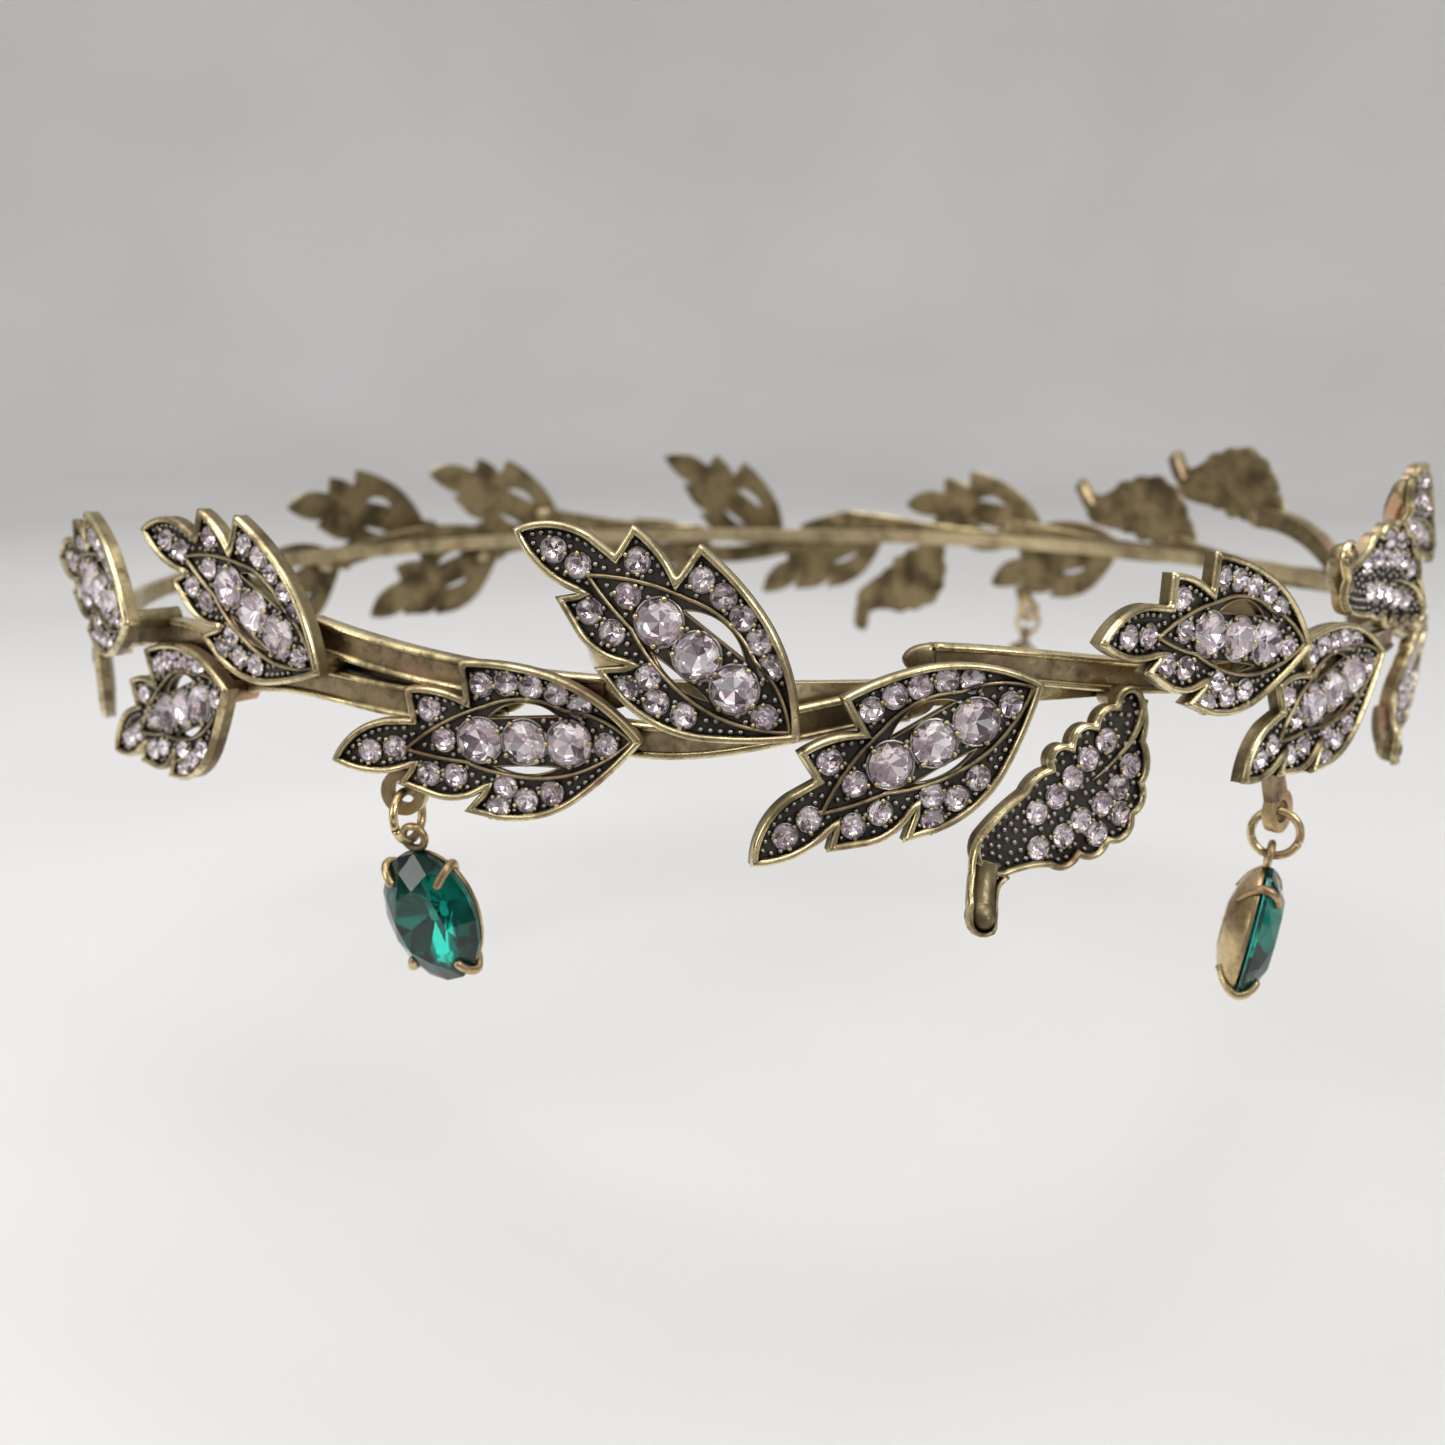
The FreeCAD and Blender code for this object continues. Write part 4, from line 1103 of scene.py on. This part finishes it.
# A claw, in the upright plane through the stone's middle, as (share, added width, height).
CLAW = [(0.66, 0.0, -2.1), (0.90, 0.08, -1.2), (1.0, 0.26, -0.3), (1.0, 0.34, 0.3),
        (0.96, 0.26, 0.90), (0.88, 0.12, 1.35), (0.80, 0.0, 1.56)]
CLAW_ACROSS = 0.643
CLAW_UP = 0.766
CLAW_WIRE = 0.46
BASKET_SIDES = 56
LOOP_STEPS = 28
RING_STEPS = 48
# The cut where a jump ring was closed: its place round the ring and its width, in degrees.
RING_CUT = 200.0
RING_GAP = 5.0


BENT_STEPS = 4


def bent(points):
    """A smooth path through points (Catmull-Rom)."""
    points = [np.array(point, float) for point in points]
    points = [2 * points[0] - points[1]] + points + [2 * points[-1] - points[-2]]
    path = []
    for a, b, c, d in zip(points, points[1:], points[2:], points[3:]):
        for k in range(BENT_STEPS):
            t = k / BENT_STEPS
            path.append(0.5 * (2 * b + (c - a) * t + (2 * a - 5 * b + 4 * c - d) * t * t
                               + (3 * b - a - 3 * c + d) * t ** 3))
    return path + [points[-2]]


def setting(solids, place):
    """The basket with its four claws and its hanging loop."""
    points, faces = oval_wall(BASKET, BASKET_SIDES)
    solids.add(points, faces, place)
    for across in (-1, 1):
        for up in (-1, 1):
            path = [(across * CLAW_ACROSS * (HALF_WIDTH * share + extra),
                     up * CLAW_UP * (HALF_HEIGHT * share + extra), height)
                    for share, extra, height in CLAW]
            path, radii = domed(bent(path), CLAW_WIRE)
            points, faces = tube(path, radii)
            solids.add(points, faces, place)
    middle = -RING_RADIUS - oval_drop
    turns = [math.tau * k / LOOP_STEPS for k in range(LOOP_STEPS)]
    circle = [(LOOP_RADIUS * math.cos(turn), middle + LOOP_RADIUS * math.sin(turn), -GIRDLE_FORWARD)
              for turn in turns]
    points, faces = tube(circle, [LOOP_WIRE] * LOOP_STEPS, closed=True)
    solids.add(points, faces, place)


def jump_ring(solids, place):
    """A round wire ring with the fine cut where it was closed."""
    first = math.radians(RING_CUT + RING_GAP / 2)
    last = math.radians(RING_CUT + 360 - RING_GAP / 2)
    path = []
    for k in range(RING_STEPS + 1):
        turn = first + (last - first) * k / RING_STEPS
        path.append((0.0, RING_RADIUS * math.cos(turn), RING_RADIUS * math.sin(turn)))
    points, faces = tube(path, [RING_WIRE] * len(path), sides=12)
    solids.add(points, faces, place)


for drop in ("front", "brow_left", "brow_right", "side_left", "side_right"):
    hung = ring_frame("jump_ring_" + drop)
    wire, basket, oval = Solids(), Solids(), Solids()
    jump_ring(wire, hung)
    wire.stand_in("jump_ring_" + drop, "wire_ring_" + drop, [drop_gold], "ring_" + drop, "wire")
    place = tilted(hung, TILTS[drop.split("_")[0]]) @ OVAL_FRAME
    setting(basket, place)
    basket.stand_in("drop_setting_" + drop, "claw_setting_" + drop, [basket_gold], "drop_" + drop,
                    "settings")
    # The oval's facets draw light and dark greens: partly its own colour, partly painted reflections.
    points, faces, kinds, tints = cut_stone(
        HALF_WIDTH, HALF_HEIGHT, table=0.56, crown=1.85, girdle=0.5, depth=2.2, culet=0.10,
        colours_and_painted_reflections=EMERALD_AND_PAINTED_REFLECTIONS)
    oval.add(points, faces, place, kinds, tints, flat=True)
    oval.stand_in("green_stone_" + drop, "emerald_oval_" + drop, [green_glass, green_foil_painted_glow],
                  "drop_" + drop, "green_stones")

# -------------------- floor, lights and camera

# The backdrop, in metres: height of the floor, radius of its flat part, radius of the bend at
# its edge and rise of each wall row above the bend.
FLOOR_LEVEL = -0.072
FLAT = 1.5
BEND = 0.6
WALL_ROW = 0.4
BACKDROP_SIDES = 64


def make_backdrop():
    """A pale floor that curves up into a wall all round."""
    section = [(FLAT * k / 8, 0.0) for k in range(1, 9)]
    bends = [math.pi / 2 * k / 8 for k in range(1, 9)]
    section += [(FLAT + BEND * math.sin(bend), BEND - BEND * math.cos(bend)) for bend in bends]
    section += [(FLAT + BEND, BEND + WALL_ROW * k) for k in range(1, 5)]
    points = [(0, 0, FLOOR_LEVEL)]
    for radius, height in section:
        for k in range(BACKDROP_SIDES):
            turn = math.tau * k / BACKDROP_SIDES
            points.append((radius * math.cos(turn), radius * math.sin(turn), FLOOR_LEVEL + height))
    cloth = Nodes("pale_cloth")
    cloud = cloth.ramp(cloth.noise(2.2, 2), 0.35, 0.65)
    tone = cloth.mix(cloud, (0.80, 0.795, 0.795), (0.74, 0.735, 0.725))
    bump = cloth.bump(0.12, 0.02, cloth.noise(3.0, 2))
    cloth.shader(Base_Color=tone, Roughness=0.85, Normal=bump.outputs[0])
    mesh = new_mesh("backdrop", points, fan(len(section), BACKDROP_SIDES), [cloth.material])
    mesh.polygons.foreach_set("use_smooth", [True] * len(mesh.polygons))
    add_object("backdrop", mesh)


def area_light(name, place, width, height, power, colour):
    """A soft rectangular lamp that faces the middle of the hoop."""
    data = bpy.data.lights.new(name, "AREA")
    data.shape = "RECTANGLE"
    data.size, data.size_y = width, height
    data.energy = power
    data.color = colour
    lamp = add_object(name, data)
    lamp.location = place
    lamp.rotation_mode = "QUATERNION"
    lamp.rotation_quaternion = (-Vector(place)).to_track_quat("-Z", "Y")


make_backdrop()
area_light("ceiling", (-0.15, 0.1, 0.95), width=0.8, height=0.8, power=5.5, colour=(1.0, 0.99, 0.975))
area_light("window", (-0.75, -0.65, 0.55), width=0.4, height=0.3, power=3.4, colour=(0.96, 0.98, 1.0))
area_light("fill", (-0.6, 0.8, 0.35), width=0.3, height=0.5, power=1.8, colour=(1.0, 0.97, 0.93))

# Dark cards that only mirror-like surfaces see, to give the metal dark reflections. For each: the
# axis it runs along, its distance and height at the lower edge and at the upper edge, its ends.
DARK_CARDS = {
    "card_level": ("y", (-0.50, -0.02), (-0.55, 0.14), (-0.60, 0.60)),
    "card_low": ("y", (-0.14, -0.067), (-0.34, -0.066), (-0.50, 0.50)),
    "card_high": ("y", (-0.45, 0.26), (-0.40, 0.44), (-0.10, 0.19)),
    "card_front": ("x", (-0.70, -0.05), (-0.75, 0.16), (-0.2, 0.7)),
    "card_back": ("x", (0.70, -0.05), (0.75, 0.16), (-0.2, 0.7)),
}


def dark_card(name, along, lower, upper, ends):
    """A dark sheet that leaves diffuse light and shadows alone."""
    corners = []
    for (away, height), end in zip((lower, lower, upper, upper), ends + ends[::-1]):
        corners.append((away, end, height) if along == "y" else (end, away, height))
    paper = Nodes(name)
    paper.shader(Base_Color=(0.05, 0.05, 0.055, 1.0), Roughness=0.9)
    card = add_object(name, new_mesh(name, corners, [(0, 1, 2, 3)], [paper.material]))
    card.visible_camera = False
    card.visible_diffuse = False
    card.visible_shadow = False


for card_name, card in DARK_CARDS.items():
    dark_card(card_name, *card)

world = bpy.data.worlds.new("studio")
world.use_nodes = True
daylight = world.node_tree.nodes["Background"].inputs
daylight["Color"].default_value = (0.92, 0.912, 0.91, 1.0)
daylight["Strength"].default_value = 0.74
bpy.context.scene.world = world

# The camera stands beside the wearer's right ear, slightly above the hoop. Angles in degrees.
CAMERA_PLACE = (-216.4, -2.8, 25.5)
PITCH = 12.03
YAW = 1.9
NEAR_LEAF = (-92.0, 0.0, 2.0)
camera_data = bpy.data.cameras.new("camera")
camera_data.lens = 37.1
camera_data.sensor_width = 36.0
camera_data.clip_start = 0.005
camera_data.dof.use_dof = True
camera_data.dof.aperture_fstop = 28.0
focus = add_object("focus", None)
focus.location = Vector(NEAR_LEAF) * MM
camera_data.dof.focus_object = focus
camera = add_object("camera", camera_data)
camera.location = Vector(CAMERA_PLACE) * MM
pitch, yaw = math.radians(PITCH), math.radians(YAW)
level = math.cos(pitch)
forward = Vector((level * math.cos(yaw), level * math.sin(yaw), -math.sin(pitch)))
camera.rotation_mode = "QUATERNION"
camera.rotation_quaternion = forward.to_track_quat("-Z", "Y")
bpy.context.scene.camera = camera
bpy.context.scene.view_settings.view_transform = "Standard"
